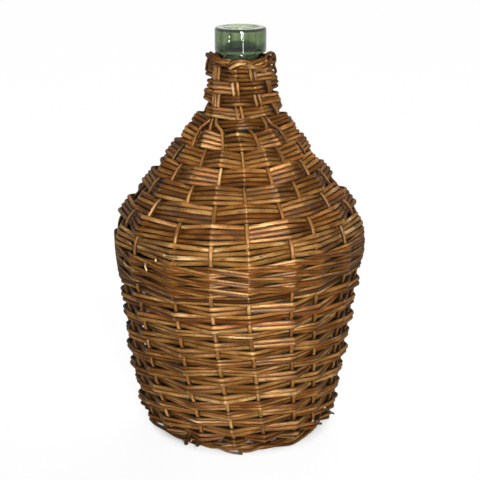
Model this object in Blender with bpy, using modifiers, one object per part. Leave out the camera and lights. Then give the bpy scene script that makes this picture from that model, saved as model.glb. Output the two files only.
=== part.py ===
"""Wicker demijohn: a green glass bottle in a woven willow jacket.

Everything is in metres with +Z up. The bottle's axis is the Z axis, and the
jacket stands on the plane z = 0. Azimuth 0 points at -Y and grows towards +X.

The jacket is built the way it is woven. Nineteen stakes start at a hub under
the bottle, turn up round its heel and gather in nine bundles at its neck.
Rows of rods pass in front of one stake and behind the next. The number of
stakes is odd, so a row that starts behind a stake ends in front of it, and
rows that start at neighbouring stakes alternate with each other.
"""

import math

import bpy
from mathutils import Vector


# Glass bottle

BOTTLE_HEIGHT = 0.370
HEEL_RADIUS = 0.0117
FOOT_RADIUS = 0.0786
SHOULDER_RADIUS = 0.1046
SHOULDER_HEIGHT = 0.1941
SHOULDER_FILLET_RADIUS = 0.050
NECK_ROOT_RADIUS = 0.0191
NECK_ROOT_HEIGHT = 0.2975
NECK_ROOT_FILLET_RADIUS = 0.060
NECK_TOP_RADIUS = 0.0163

COLLAR_RADIUS = 0.0227
COLLAR_HEIGHT = 0.0188
COLLAR_ROUNDING = 0.0022
COLLAR_UNDERCUT = 0.0022
BORE_RADIUS = 0.0138
MOUTH_ROUNDING = 0.0018
GLASS_WALL = 0.0026
PUNT_RADIUS = 0.056
PUNT_HEIGHT = 0.012
PUNT_CROWN_RADIUS = 0.022

# Willow rods

STAKE_COUNT = 19
STAKE_RADIUS = 0.0019
ROD_RADIUS = 0.00205
NECK_ROD_RADIUS = 0.00165
SEAT_GAP = 0.0003
ROW_GAP = 0.0006
ROD_SPACING = 0.0002
ROD_BACK = 0.9
ROD_GROOVE = 0.35
BEND_ROOM = 1.3
TAIL_LENGTH = 0.0015

# Layout of the weave

HUB_RADIUS = 0.0300
HUB_THICKNESS = 0.0076
HUB_BEVEL_WIDTH = 0.0090
HUB_BEVEL_HEIGHT = 0.0015
SIDE_ROW_START_ANGLE = math.radians(20.0)
BELT_BOTTOM_HEIGHT = 0.160
BELT_TOP_HEIGHT = 0.187
BUNDLE_COUNT = 9
NECK_WEAVE_BOTTOM_HEIGHT = 0.2900
BUNDLING_LENGTH = 0.0070
GATHER_BELOW = 0.0007
GATHER_ABOVE = 0.0028
RIM_HEIGHT = 0.0110
RIM_CLEARANCE = 0.0006
RIM_TWISTS = 4
FOOT_ROD_RADIUS = 0.0042
FOOT_FLAT_DEPTH = 0.0006
FOOT_RING_ANGLE = math.radians(13.0)

# Hand-made irregularity

ROW_RISE = 0.045
RISE_BLEND = 0.060
STAKE_LEAN = math.radians(13.0)
STAKE_LEAN_GROWTH = 1.5
FIRST_STAKE_AZIMUTH = math.radians(2.0)
STAKE_STRAY = [math.radians(a) for a in
               (1.5, 3, -3, -2, 1, -1, 2, 0, 1, -1, 2, -1, 0, 2, -2, 3, 0, 5, 4)]

# Facets

BOTTLE_SEGMENTS = 24
FOOT_SEGMENTS = 24
HUB_SEGMENTS = 20
LINE_STEPS = 24
GLASS_STEPS = (3, 5, 4)
LINING_STEPS = (2, 3, 3)
MOUTH_STEPS = 2
COLLAR_STEPS = 3
FOOT_ROD_STEPS = 6
RIM_POINTS_PER_TWIST = 6
STAKE_SAG = 0.00045
STAKE_SIDES = 5
FINE_STEP = 0.001
SLOPE_REACH = 0.0015
BEND_REACH = 0.004
FULL_BULGE_RADIUS = 0.100


def clear_scene():
    for old in list(bpy.data.objects):
        bpy.data.objects.remove(old)


def smoothstep(low, high, value):
    t = min(1.0, max(0.0, (value - low) / (high - low)))
    return t * t * (3.0 - 2.0 * t)


# Outline of the bottle

def arc(center, radius, start, end, steps):
    """Points (r, z) of an arc; angles are measured from the outward radial direction."""
    points = []
    for n in range(steps + 1):
        a = start + (end - start) * n / steps
        points.append((center[0] + radius * math.cos(a), center[1] + radius * math.sin(a)))
    return points


def rounding_center(before, corner, after, rounding):
    """Centre of the arc that rounds the corner between two straight lines of an outline (r, z)."""
    back = (Vector(before) - Vector(corner)).normalized()
    ahead = (Vector(after) - Vector(corner)).normalized()
    half_angle = 0.5 * back.angle(ahead)
    return Vector(corner) + (back + ahead).normalized() * rounding / math.sin(half_angle)


def rounded_corner(before, corner, after, rounding, steps):
    """Arc that rounds the corner between two straight lines of an outline (r, z)."""
    center = rounding_center(before, corner, after, rounding)
    corner = Vector(corner)
    back = (Vector(before) - corner).normalized()
    ahead = (Vector(after) - corner).normalized()
    half_angle = 0.5 * back.angle(ahead)
    start = corner + back * rounding / math.tan(half_angle) - center
    end = corner + ahead * rounding / math.tan(half_angle) - center
    first = math.atan2(start.y, start.x)
    turn = math.remainder(math.atan2(end.y, end.x) - first, 2.0 * math.pi)
    return arc(center, rounding, first, first + turn, steps)


def neck_top_height():
    return BOTTLE_HEIGHT - COLLAR_HEIGHT


def bottle_corners():
    """Corners (r, z) of the bottle's outer wall, from its bottom to its neck, before rounding."""
    bottom = bottle_bottom()
    return [(PUNT_RADIUS, bottom), (FOOT_RADIUS, bottom), (SHOULDER_RADIUS, SHOULDER_HEIGHT),
            (NECK_ROOT_RADIUS, NECK_ROOT_HEIGHT), (NECK_TOP_RADIUS, neck_top_height())]


def bottle_wall(steps):
    """Outer wall of the bottle from its bottom to its collar, with round corners."""
    corners = bottle_corners()
    outline = [corners[0]]
    for n, rounding in enumerate((HEEL_RADIUS, SHOULDER_FILLET_RADIUS, NECK_ROOT_FILLET_RADIUS)):
        outline += rounded_corner(corners[n], corners[n + 1], corners[n + 2], rounding, steps[n])
    outline.append(corners[-1])
    return outline


def heel_center():
    """Centre (r, z) of the round heel that the bottle and the stakes share."""
    corners = bottle_corners()
    return tuple(rounding_center(corners[0], corners[1], corners[2], HEEL_RADIUS))


def normals(points):
    """Unit normals of an outline that runs outwards and up, pointing away from the glass."""
    result = []
    last = len(points) - 1
    for n in range(len(points)):
        a = points[max(0, n - 1)]
        b = points[min(last, n + 1)]
        dr = b[0] - a[0]
        dz = b[1] - a[1]
        length = math.hypot(dr, dz)
        result.append((dz / length, -dr / length))
    return result


# How a rod passes a stake

def seat_distance(rod_radius, side):
    """Least distance from a stake's axis to the axis of a rod in front of it or behind it."""
    stake_reach = STAKE_RADIUS + 0.5 * STAKE_SAG + SEAT_GAP
    if side > 0:
        return stake_reach + ROD_BACK * rod_radius
    return stake_reach + rod_radius


def passing_offset(rod_radius, side, spacing, radius):
    """Offset at which a rod bends at a stake, so that its straight runs clear the stake.

    A rod runs straight from one stake to the next, at the given spacing. In front of a
    stake it falls away by the angle of the crossing and by half the turn between the two
    stakes; behind a stake that half turn is taken off.
    """
    rise = seat_distance(rod_radius, 1) + seat_distance(rod_radius, -1)
    crossing = math.atan(rise / spacing)
    half_turn = 0.5 * spacing / radius
    angle = max(0.0, crossing + side * half_turn)
    return side * seat_distance(rod_radius, side) / math.cos(angle)


def stake_offset(radius):
    """Distance from the glass to the stakes' axes: it leaves room for a rod between them."""
    least_spacing = 6.0 * ROD_RADIUS
    spacing = max(2.0 * math.pi * radius / STAKE_COUNT, least_spacing)
    return ROD_BACK * ROD_RADIUS + SEAT_GAP - passing_offset(ROD_RADIUS, -1, spacing, radius)


# Where the bottle stands: the foot ring holds up the stakes, and the stakes hold up the glass

def foot_ring_reach():
    """Distance from the heel's centre to the centre of the foot ring's rod."""
    return (HEEL_RADIUS + stake_offset(FOOT_RADIUS) + STAKE_RADIUS + SEAT_GAP + FOOT_ROD_RADIUS)


def foot_ring_height():
    return FOOT_ROD_RADIUS - FOOT_FLAT_DEPTH


def bottle_bottom():
    """Height of the bottle's flat bottom, which stands on the stakes above the foot ring."""
    return foot_ring_height() + foot_ring_reach() * math.cos(FOOT_RING_ANGLE) - HEEL_RADIUS


def thinned(points, sag):
    """The fewest of the given points whose straight runs stay within the sag of the rest."""
    kept = [0]
    while kept[-1] < len(points) - 1:
        start = kept[-1]
        end = start + 1
        while end + 1 < len(points):
            a = Vector(points[start])
            b = Vector(points[end + 1])
            middle = Vector(points[(start + end + 1) // 2])
            along = (middle - a).project(b - a)
            if (middle - a - along).length > sag:
                break
            end += 1
        kept.append(end)
    return [points[n] for n in kept]


def subdivided(points, step):
    """The same outline with its long straight runs cut into steps."""
    result = []
    for a, b in zip(points, points[1:]):
        count = max(1, round(math.hypot(b[0] - a[0], b[1] - a[1]) / step))
        for n in range(count):
            t = n / count
            result.append((a[0] + (b[0] - a[0]) * t, a[1] + (b[1] - a[1]) * t))
    result.append(points[-1])
    return result


class StakeLine:
    """Outline of the stakes' axes, measured by the distance s from the hub."""

    def __init__(self):
        self.lift = stake_offset(FOOT_RADIUS)
        self.heel_rounding = HEEL_RADIUS + self.lift
        wall = subdivided(bottle_wall((LINE_STEPS, LINE_STEPS, LINE_STEPS)), FINE_STEP)
        outer = [(HUB_RADIUS, bottle_bottom() - self.lift)]
        for (r, z), (nr, nz) in zip(wall, normals(wall)):
            offset = self.lift if r < FOOT_RADIUS and z < SHOULDER_HEIGHT else stake_offset(r)
            outer.append((r + nr * offset, z + nz * offset))
        self.points = outer
        self.distances = [0.0]
        for a, b in zip(outer, outer[1:]):
            self.distances.append(self.distances[-1] + math.hypot(b[0] - a[0], b[1] - a[1]))
        self.heel_start = heel_center()[0] - HUB_RADIUS
        self.heel_end = self.heel_start + self.heel_rounding * (math.pi / 2 - self.side_lean())

    def side_lean(self):
        corners = bottle_corners()
        return math.atan2(corners[2][0] - corners[1][0], corners[2][1] - corners[1][1])

    def at(self, s):
        """Position (r, z) at the distance s."""
        s = min(max(s, 0.0), self.distances[-1])
        k = 0
        while k < len(self.distances) - 2 and self.distances[k + 1] < s:
            k += 1
        t = (s - self.distances[k]) / (self.distances[k + 1] - self.distances[k])
        a = self.points[k]
        b = self.points[k + 1]
        return (a[0] + (b[0] - a[0]) * t, a[1] + (b[1] - a[1]) * t)

    def lean(self, s):
        """Angle of the outline from the vertical, positive where it runs outwards."""
        a = self.at(s - SLOPE_REACH)
        b = self.at(s + SLOPE_REACH)
        return math.atan2(b[0] - a[0], b[1] - a[1])

    def bend(self, s, reach):
        """Mean curvature of the outline within the reach, positive where it bulges outwards."""
        return (self.lean(s - reach) - self.lean(s + reach)) / (2.0 * reach)

    def at_height(self, height):
        """Distance s on the side wall at the given height."""
        low = self.heel_end
        high = self.distances[-1]
        for _ in range(40):
            middle = 0.5 * (low + high)
            if self.at(middle)[1] < height:
                low = middle
            else:
                high = middle
        return low


def surface_point(line, azimuth, s, offset):
    """Point in space at an azimuth, a distance s and an offset out from the stakes' axes."""
    r, z = line.at(s)
    lean = line.lean(s)
    r += offset * math.cos(lean)
    z -= offset * math.sin(lean)
    return (r * math.sin(azimuth), -r * math.cos(azimuth), z)


# Where the stakes stand

def bundle_of(stake):
    return min(stake // 2, BUNDLE_COUNT - 1)


def bundle_members(bundle):
    return [n for n in range(STAKE_COUNT) if bundle_of(n) == bundle]


def stake_azimuth(line, marks, stake, s):
    """Azimuth of a stake at the distance s.

    The stakes are even at the hub and stray on the side, and at the neck they gather in
    bundles.
    """
    step = 2.0 * math.pi / STAKE_COUNT
    r, z = line.at(s)
    stray = STAKE_STRAY[stake % STAKE_COUNT] * (r / marks["widest"]) ** 2
    depth = max(0.0, 1.0 - z / BELT_BOTTOM_HEIGHT)
    azimuth = FIRST_STAKE_AZIMUTH + stake * step + STAKE_LEAN * depth ** STAKE_LEAN_GROWTH
    members = bundle_members(bundle_of(stake % STAKE_COUNT))
    middle = sum(members) / len(members)
    turn = stake // STAKE_COUNT
    place = stake % STAKE_COUNT - middle
    bundled = (FIRST_STAKE_AZIMUTH + (middle + turn * STAKE_COUNT) * step
               + place * (2.0 * STAKE_RADIUS + SEAT_GAP) / r)
    share = smoothstep(marks["shoulder_end"] - GATHER_BELOW, marks["neck_start"] + GATHER_ABOVE, s)
    return (azimuth + stray) * (1.0 - share) + bundled * share


def weave_marks(line):
    """Distances s at which one part of the weave ends and the next begins."""
    marks = {}
    marks["hub"] = 0.0
    marks["base_end"] = line.heel_start
    marks["side_start"] = line.heel_start + line.heel_rounding * SIDE_ROW_START_ANGLE
    marks["belt_start"] = line.at_height(BELT_BOTTOM_HEIGHT)
    marks["belt_end"] = line.at_height(BELT_TOP_HEIGHT)
    marks["neck_start"] = line.at_height(NECK_WEAVE_BOTTOM_HEIGHT)
    marks["shoulder_end"] = marks["neck_start"] - BUNDLING_LENGTH
    marks["rim_start"] = line.at_height(neck_top_height() - RIM_CLEARANCE - RIM_HEIGHT)
    marks["widest"] = max(r for r, z in line.points)
    return marks


def risen(line, marks, azimuth, s):
    """The rows rise slightly to the right: the shifted distance and the local stretch."""
    low = marks["side_start"]
    high = marks["rim_start"]

    def shifted(value):
        share = smoothstep(low, low + RISE_BLEND, value)
        share *= 1.0 - smoothstep(high - RISE_BLEND, high, value)
        return value + ROW_RISE * line.at(value)[0] * math.sin(azimuth) * share

    stretch = (shifted(s + SLOPE_REACH) - shifted(s - SLOPE_REACH)) / (2.0 * SLOPE_REACH)
    return shifted(s), stretch


# Rods woven round the stakes

def band_section(name, rods, height, rod_radius, bend, guides):
    """Section of a band of rods that lie side by side: round in front, flat at the back.

    The band follows the outline's curvature, so it is bent round the outline's centre.
    """
    half = height / 2.0
    rod = height / rods
    straight = [(-ROD_BACK * rod_radius, -half), (-ROD_BACK * rod_radius, half)]
    for n in range(rods):
        middle = half - rod * (n + 0.5)
        straight.append((rod_radius, middle))
        if n < rods - 1:
            straight.append((ROD_GROOVE * rod_radius, middle - rod / 2.0))
    outline = []
    for x, y in straight:
        angle = bend * y
        if abs(angle) > 1e-6:
            bent = (1.0 / bend + x) * math.cos(angle) - 1.0 / bend
            outline.append((max(bent, -ROD_BACK * rod_radius), (1.0 / bend + x) * math.sin(angle)))
        else:
            outline.append((x, y))
    return section_object(name, outline, guides)


def section_object(name, outline, guides):
    """Closed flat curve that other curves take as their section."""
    curve = bpy.data.curves.new(name, 'CURVE')
    curve.dimensions = '2D'
    spline = curve.splines.new('POLY')
    spline.points.add(len(outline) - 1)
    for point, (x, y) in zip(spline.points, outline):
        point.co = (x, y, 0.0, 1.0)
    spline.use_cyclic_u = True
    section = bpy.data.objects.new(name, curve)
    section.hide_render = True
    section.display_type = 'WIRE'
    guides.objects.link(section)
    return section


def tube_object(name, points, collection, tilts=None, sizes=None, section=None, radius=0.0, closed=False):
    """Curve object along the points, with a round or a given section and closed ends."""
    curve = bpy.data.curves.new(name, 'CURVE')
    curve.dimensions = '3D'
    curve.twist_mode = 'Z_UP' if section else 'MINIMUM'
    curve.resolution_u = 1
    curve.use_fill_caps = not closed
    if section:
        curve.bevel_mode = 'OBJECT'
        curve.bevel_object = section
    else:
        curve.bevel_depth = radius
        curve.bevel_resolution = 1
    spline = curve.splines.new('POLY')
    spline.points.add(len(points) - 1)
    spline.use_cyclic_u = closed
    spline.use_smooth = True
    for n, point in enumerate(spline.points):
        point.co = (*points[n], 1.0)
        if tilts:
            point.tilt = tilts[n]
        if sizes:
            point.radius = sizes[n]
    rod = bpy.data.objects.new(name, curve)
    collection.objects.link(rod)
    return rod


def singles(first, period):
    """Crossings of one row round single stakes: behind every period-th stake, in front of the rest.

    The list has one crossing more at each end, which gives the row's ends their direction.
    """
    return [(stake, -1 if (stake - first) % period == 0 else 1)
            for stake in range(first - 1, first + STAKE_COUNT + 2)]


def bundles(first):
    """Crossings of one row round the bundles of the neck, with one crossing more at each end."""
    crossings = []
    for place in range(-1, BUNDLE_COUNT + 2):
        members = bundle_members((first + place) % BUNDLE_COUNT)
        if place < 0:
            members = members[-1:]
        elif place > BUNDLE_COUNT:
            members = members[:1]
        turn = (first + place) // BUNDLE_COUNT
        side = -1 if place % 2 == 0 else 1
        crossings += [(stake + turn * STAKE_COUNT, side) for stake in members]
    return crossings


def crossing_offset(places, n, line, rod_radius, squeeze):
    """Offset of a row at its n-th crossing, large enough for the steeper of its two runs."""
    azimuth, s, side = places[n]
    radius = line.at(s)[0]
    offset = side * seat_distance(rod_radius, side)
    for other in (n - 1, n + 1):
        if 0 <= other < len(places) and places[other][2] != side:
            spacing = abs(places[other][0] - azimuth) * radius
            steep = passing_offset(rod_radius, side, spacing * squeeze, radius * squeeze)
            offset = side * max(abs(offset), abs(steep))
    return offset


def woven_band(name, line, marks, crossings, s, band, section, rod_radius, collection):
    """One row: a band of rods that passes the stakes on the given sides.

    On the inner side of a bend the rows have less room, so the band is drawn in there. A wide
    band has a short tail past its first and last stake.
    """
    places = []
    stretches = []
    for stake, side in crossings:
        azimuth = stake_azimuth(line, marks, stake, s)
        shifted, stretch = risen(line, marks, azimuth, s)
        places.append((stake_azimuth(line, marks, stake, shifted), shifted, side))
        stretches.append(stretch)
    points = []
    tilts = []
    sizes = []
    for n, (azimuth, shifted, side) in enumerate(places):
        offset = crossing_offset(places, n, line, rod_radius, band["squeeze"])
        points.append(Vector(surface_point(line, azimuth, shifted, offset)))
        tilts.append(line.lean(shifted))
        sizes.append(stretches[n] * min(1.0, 1.0 + BEND_ROOM * band["bend"] * offset))
    if band["rods"] > 2:
        for end, inner in ((0, 1), (-1, -2)):
            tail = points[end] - points[inner]
            points[end] = points[inner] + tail.normalized() * TAIL_LENGTH
            sizes[end] = sizes[inner]
    else:
        points = points[1:-1]
        tilts = tilts[1:-1]
        sizes = sizes[1:-1]
    return tube_object(name, points, collection, tilts, sizes, section)


def build_rows(line, marks, collection, guides, materials):
    """All woven rows, from the hub to the rim.

    Each part of the weave takes as many rows as fit, at its own number of rods a row.
    """
    parts = (
        ("base_row", 3, 2, "hub", "base_end", ROD_RADIUS, "dark"),
        ("side_row", 2, 2, "side_start", "belt_start", ROD_RADIUS, "brown"),
        ("belt_row", 2, 3, "belt_start", "belt_end", ROD_RADIUS, "dark"),
        ("shoulder_band", 4, 2, "belt_end", "shoulder_end", ROD_RADIUS, "brown"),
        ("neck_band", 3, 2, "neck_start", "rim_start", NECK_ROD_RADIUS, "brown"),
    )
    back_stake = STAKE_COUNT // 2
    back_bundle = BUNDLE_COUNT // 2
    row = 0
    for label, rods, period, low, high, rod_radius, tone in parts:
        length = marks[high] - marks[low]
        count = max(1, round(length / (rods * (2.0 * rod_radius + ROD_SPACING))))
        pitch = length / count
        for n in range(count):
            row += 1
            if label == "neck_band":
                crossings = bundles(back_bundle + row % 2)
            elif period == 3:
                crossings = singles(back_stake + n, period)
            else:
                crossings = singles(back_stake + row % 2, period)
            middle = marks[low] + pitch * (n + 0.5)
            name = f"{label}_{n + 1:02d}"
            narrow = min(line.at(middle - 0.5 * pitch)[0], line.at(middle + 0.5 * pitch)[0])
            band = {
                "rods": rods,
                "bend": line.bend(middle, 0.5 * pitch),
                "squeeze": narrow / line.at(middle)[0],
            }
            section = band_section(name + "_section", rods, pitch - ROW_GAP, rod_radius, band["bend"],
                                   guides)
            rod = woven_band(name, line, marks, crossings, middle, band, section, rod_radius, collection)
            rod.data.materials.append(materials[tone])


# Stakes, rim and foot

def stake_point(line, marks, stake, s):
    """Point of a stake's axis; half the sag outwards on a bulge evens out its straight runs."""
    bulge = max(-1.0, min(1.0, line.bend(s, BEND_REACH) * FULL_BULGE_RADIUS))
    return surface_point(line, stake_azimuth(line, marks, stake, s), s, 0.5 * STAKE_SAG * bulge)


def stake_section(guides):
    """Five-sided section of a stake."""
    outline = [(STAKE_RADIUS * math.cos(2.0 * math.pi * n / STAKE_SIDES),
                STAKE_RADIUS * math.sin(2.0 * math.pi * n / STAKE_SIDES)) for n in range(STAKE_SIDES)]
    return section_object("stake_section", outline[::-1], guides)


def build_stakes(line, marks, collection, guides, material):
    section = stake_section(guides)
    for stake in range(STAKE_COUNT):
        fine = []
        steps = int((marks["rim_start"] - SEAT_GAP) / FINE_STEP)
        for n in range(steps + 1):
            s = SEAT_GAP + (marks["rim_start"] - SEAT_GAP) * n / steps
            fine.append(stake_point(line, marks, stake, s))
        points = thinned(fine, STAKE_SAG)
        rod = tube_object(f"stake_{stake + 1:02d}", points, collection, section=section)
        rod.data.twist_mode = 'MINIMUM'
        rod.data.materials.append(material)


def build_rim(line, marks, collection, material):
    """Two rods twisted round each other that close the weave under the collar."""
    strand_radius = (RIM_HEIGHT - SEAT_GAP) / 4.0 - SEAT_GAP / 4.0
    half_lay = (strand_radius + SEAT_GAP / 2.0) / math.cos(math.pi / RIM_POINTS_PER_TWIST)
    ring_radius = line.at(marks["rim_start"])[0]
    ring_height = line.at(marks["rim_start"])[1] + RIM_HEIGHT / 2.0 + SEAT_GAP
    count = RIM_TWISTS * RIM_POINTS_PER_TWIST
    for strand in range(2):
        points = []
        for n in range(count):
            azimuth = 2.0 * math.pi * n / count
            twist = 2.0 * math.pi * n / RIM_POINTS_PER_TWIST + math.pi * strand
            r = ring_radius + half_lay * math.cos(twist)
            z = ring_height + half_lay * math.sin(twist)
            points.append((r * math.sin(azimuth), -r * math.cos(azimuth), z))
        rod = tube_object(f"rim_strand_{strand + 1}", points, collection, radius=strand_radius, closed=True)
        rod.data.materials.append(material)


def turned(name, outline, segments, closed, collection, material):
    """Solid turned round the Z axis from an outline (r, z) that runs down its outer side."""
    mesh = bpy.data.meshes.new(name)
    edges = [(n, n + 1) for n in range(len(outline) - 1)]
    if closed:
        edges.append((len(outline) - 1, 0))
    mesh.from_pydata([(r, 0.0, z) for r, z in outline], edges, [])
    solid = bpy.data.objects.new(name, mesh)
    collection.objects.link(solid)
    screw = solid.modifiers.new("Turn", 'SCREW')
    screw.axis = 'Z'
    screw.steps = segments
    screw.render_steps = segments
    screw.use_merge_vertices = True
    screw.merge_threshold = 0.00001
    screw.use_smooth_shade = True
    mesh.materials.append(material)
    return solid


def build_foot(collection, material):
    """Ring under the stakes' heel bend: the only thing that touches the ground, cut flat there."""
    height = foot_ring_height()
    ring_radius = heel_center()[0] + foot_ring_reach() * math.sin(FOOT_RING_ANGLE)
    flat_angle = math.acos(height / FOOT_ROD_RADIUS)
    outline = arc((ring_radius, height), FOOT_ROD_RADIUS, 1.5 * math.pi - flat_angle,
                  flat_angle - 0.5 * math.pi, FOOT_ROD_STEPS)
    turned("foot_border", outline, FOOT_SEGMENTS, True, collection, material)


def build_hub(line, collection, material):
    """The crossing of the rods under the bottle, from which the stakes fan out."""
    middle = line.points[0][1]
    top = middle + HUB_THICKNESS / 2.0
    bottom = middle - HUB_THICKNESS / 2.0
    edge = HUB_RADIUS - SEAT_GAP
    outline = [(0.0, top), (edge - HUB_BEVEL_WIDTH, top), (edge, top - HUB_BEVEL_HEIGHT),
               (edge, bottom + HUB_BEVEL_HEIGHT), (edge - HUB_BEVEL_WIDTH, bottom), (0.0, bottom)]
    turned("base_hub", outline, HUB_SEGMENTS, False, collection, material)


# The bottle

def build_bottle(collection, material):
    """Hollow bottle, turned from one outline: up the inside, over the lip and down the outside."""
    outer = bottle_wall(GLASS_STEPS)
    lining = bottle_wall(LINING_STEPS)
    inner = [(r - nr * GLASS_WALL, z - nz * GLASS_WALL) for (r, z), (nr, nz) in zip(lining, normals(lining))]
    neck_top = neck_top_height()
    bottom = bottle_bottom()
    crown = bottom + PUNT_HEIGHT
    outline = [(0.0, crown + GLASS_WALL), (PUNT_CROWN_RADIUS, crown + GLASS_WALL)]
    outline += inner[1:-1]
    outline.append((BORE_RADIUS, neck_top))
    mouth = (BORE_RADIUS + MOUTH_ROUNDING, BOTTLE_HEIGHT - MOUTH_ROUNDING)
    outline += arc(mouth, MOUTH_ROUNDING, math.pi, 0.5 * math.pi, MOUTH_STEPS)
    edge = (COLLAR_RADIUS - COLLAR_ROUNDING, BOTTLE_HEIGHT - COLLAR_ROUNDING)
    outline += arc(edge, COLLAR_ROUNDING, 0.5 * math.pi, 0.0, COLLAR_STEPS)
    outline.append((COLLAR_RADIUS, neck_top + COLLAR_UNDERCUT))
    outline.append((COLLAR_RADIUS - 0.5 * COLLAR_UNDERCUT, neck_top))
    outline += outer[::-1]
    outline.append((PUNT_CROWN_RADIUS, crown))
    outline.append((0.0, crown))
    turned("glass_bottle", outline, BOTTLE_SEGMENTS, False, collection, material)


# Materials

def principled(name, color, roughness, metallic=0.0):
    material = bpy.data.materials.new(name)
    material.use_nodes = True
    shader = material.node_tree.nodes["Principled BSDF"]
    shader.inputs["Base Color"].default_value = (*color, 1.0)
    shader.inputs["Roughness"].default_value = roughness
    shader.inputs["Metallic"].default_value = metallic
    return material


def main():
    clear_scene()
    demijohn = bpy.data.collections.new("wicker_demijohn")
    guides = bpy.data.collections.new("sections")
    bpy.context.scene.collection.children.link(demijohn)
    bpy.context.scene.collection.children.link(guides)

    glass = principled("green_glass", (0.20, 0.36, 0.24), 0.08)
    willow = {
        "brown": principled("brown_willow", (0.36, 0.18, 0.07), 0.45),
        "dark": principled("dark_willow", (0.24, 0.11, 0.04), 0.5),
        "pale": principled("pale_willow", (0.50, 0.30, 0.14), 0.45),
    }

    line = StakeLine()
    marks = weave_marks(line)
    build_bottle(demijohn, glass)
    build_stakes(line, marks, demijohn, guides, willow["pale"])
    build_rows(line, marks, demijohn, guides, willow)
    build_rim(line, marks, demijohn, willow["dark"])
    build_foot(demijohn, willow["dark"])
    build_hub(line, demijohn, willow["dark"])


main()
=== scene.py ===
"""Wicker demijohn, dressed: a green glass bottle in a jacket of round willow rods.

Everything is in metres with +Z up. The bottle's axis is the Z axis and the jacket stands on
z = 0. Azimuth 0 points at -Y, towards the camera, and grows towards +X. The rods follow the
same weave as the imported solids, which they stand for.
"""

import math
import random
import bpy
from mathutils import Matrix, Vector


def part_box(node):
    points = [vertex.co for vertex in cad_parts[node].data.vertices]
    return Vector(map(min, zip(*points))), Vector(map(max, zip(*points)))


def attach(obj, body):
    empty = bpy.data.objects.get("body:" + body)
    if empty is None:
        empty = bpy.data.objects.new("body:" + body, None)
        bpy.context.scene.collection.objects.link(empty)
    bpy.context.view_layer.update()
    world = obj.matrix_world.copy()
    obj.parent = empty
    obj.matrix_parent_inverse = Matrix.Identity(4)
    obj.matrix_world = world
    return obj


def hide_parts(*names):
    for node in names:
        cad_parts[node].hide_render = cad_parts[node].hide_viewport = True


bl_info = {
    "name": "Wicker Demijohn",
    "version": (1, 0, 0),
    "blender": (4, 5, 0),
    "location": "View3D > Sidebar > Demijohn",
    "description": "Builds a woven willow jacket, rod by rod, round a green glass bottle",
    "category": "Add Mesh",
}

import bpy
import numpy as np
from mathutils import Vector

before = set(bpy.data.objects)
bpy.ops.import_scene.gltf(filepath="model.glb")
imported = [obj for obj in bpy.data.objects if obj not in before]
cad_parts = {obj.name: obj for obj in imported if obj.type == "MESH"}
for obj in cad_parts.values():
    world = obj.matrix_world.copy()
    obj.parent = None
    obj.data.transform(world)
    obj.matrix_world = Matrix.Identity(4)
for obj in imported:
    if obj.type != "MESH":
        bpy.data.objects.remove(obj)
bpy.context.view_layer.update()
GLASS_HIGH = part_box("glass_bottle")[1]

TURN = 2.0 * math.pi

# Weave, the same as the solids'

STAKE_COUNT = 19
BUNDLE_COUNT = 9
SIDE_ROW_START_ANGLE = math.radians(20.0)
BUNDLING_LENGTH = 0.0070
GATHER_BELOW = 0.0007
GATHER_ABOVE = 0.0028
RIM_HEIGHT = 0.0110
RIM_CLEARANCE = 0.0006
FOOT_RING_ANGLE = math.radians(13.0)
FOOT_FLAT_DEPTH = 0.0006
HUB_RADIUS = 0.0300
SEAT_GAP = 0.0003
ROD_BACK = 0.9
ROD_SPACING = 0.0002
BEND_ROOM = 1.3
STAKE_SAG = 0.00045
STAKE_SAG_REACH = 0.004
STAKE_SAG_RATE = 0.1
LINE_STEPS = 24
LEAST_SPACING = 6.0
ROW_RISE = 0.045
RISE_BLEND = 0.060
STAKE_LEAN = math.radians(13.0)
STAKE_LEAN_GROWTH = 1.5
FIRST_STAKE_AZIMUTH = math.radians(2.0)
STAKE_STRAY = [math.radians(a) for a in
               (1.5, 3, -3, -2, 1, -1, 2, 0, 1, -1, 2, -1, 0, 2, -2, 3, 0, 5, 4)]
SLOPE_REACH = 0.0015
FINE_STEP = 0.001

# Liveliness of the weave, which the solids leave out

STAKE_PUSH = 0.0008
STAKE_STEPS = 170
STAKE_TAPER = 0.22
STAKE_KNOB = 0.04
STAKE_KNOB_RATE = 60.0
STAKE_WEAR = 0.1
KINK_ROUNDNESS = 0.24
ROD_PLACES = (0.0, 0.03, 0.08, 0.16, 0.30, 0.5, 0.70, 0.84, 0.92, 0.97)
FRONT_SPREAD = 1.05
HEIGHT_PLAY = 0.0002
FRONT_PLAY = 0.0004
SHORTEST_END = 0.004
LONGEST_END = 0.009
KNOT_SWELL = 0.10
KNOT_REACH = 0.06
LEVELLING = 0.55
LEVELLING_TILT = math.radians(17.0)
ROD_UNEVENNESS = 0.16
NECK_TWIST = math.radians(24.0)
NECK_TWIST_LENGTH = 0.030
NECK_BAND_FOOT = 0.0012
NECK_BAND_HEAD = 0.0022
FINE_ROW_SHARE = 0.3
LEFT_BULGE = ((0.006, 0.0), (0.022, 0.0042), (0.075, 0.0068), (0.125, 0.0044), (0.19, 0.0030), (0.222, 0.0))
RIGHT_BULGE = ((0.262, 0.0), (0.286, 0.0030), (0.312, 0.0030), (0.336, 0.0))
WALE_WIDTH = 0.31
WALE_RODS = 6
WALE_SIDES = (-1, 1, 1)
WALE_LEVELS = (0.0, 0.25, -0.25)
WALE_PAIR = 0.125
# Pale marks at the kinks in front of the stakes, partly worn and partly a painted glint: how far along a run
# they reach, and how strong they are on the belt
WORN_GLINT_SHARE = 0.07
BELT_WEAR_GLINT = 0.2
DARK_RODS = (("side_row_18", 1), ("belt_row_01", 0))
DARK_TONE = -0.8
# How much darker the neck bands' rods are: painted shade on the neck
NECK_PAINTED_SHADE = 0.30

# Wavers of the rows, as (height, waves round the jacket, radians for each metre up, start)

WAVERS = ((0.0007, 3.0, 45.0, 2.1), (0.0004, 8.0, 70.0, 0.6))

# Bottle, borders and base sticks

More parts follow.
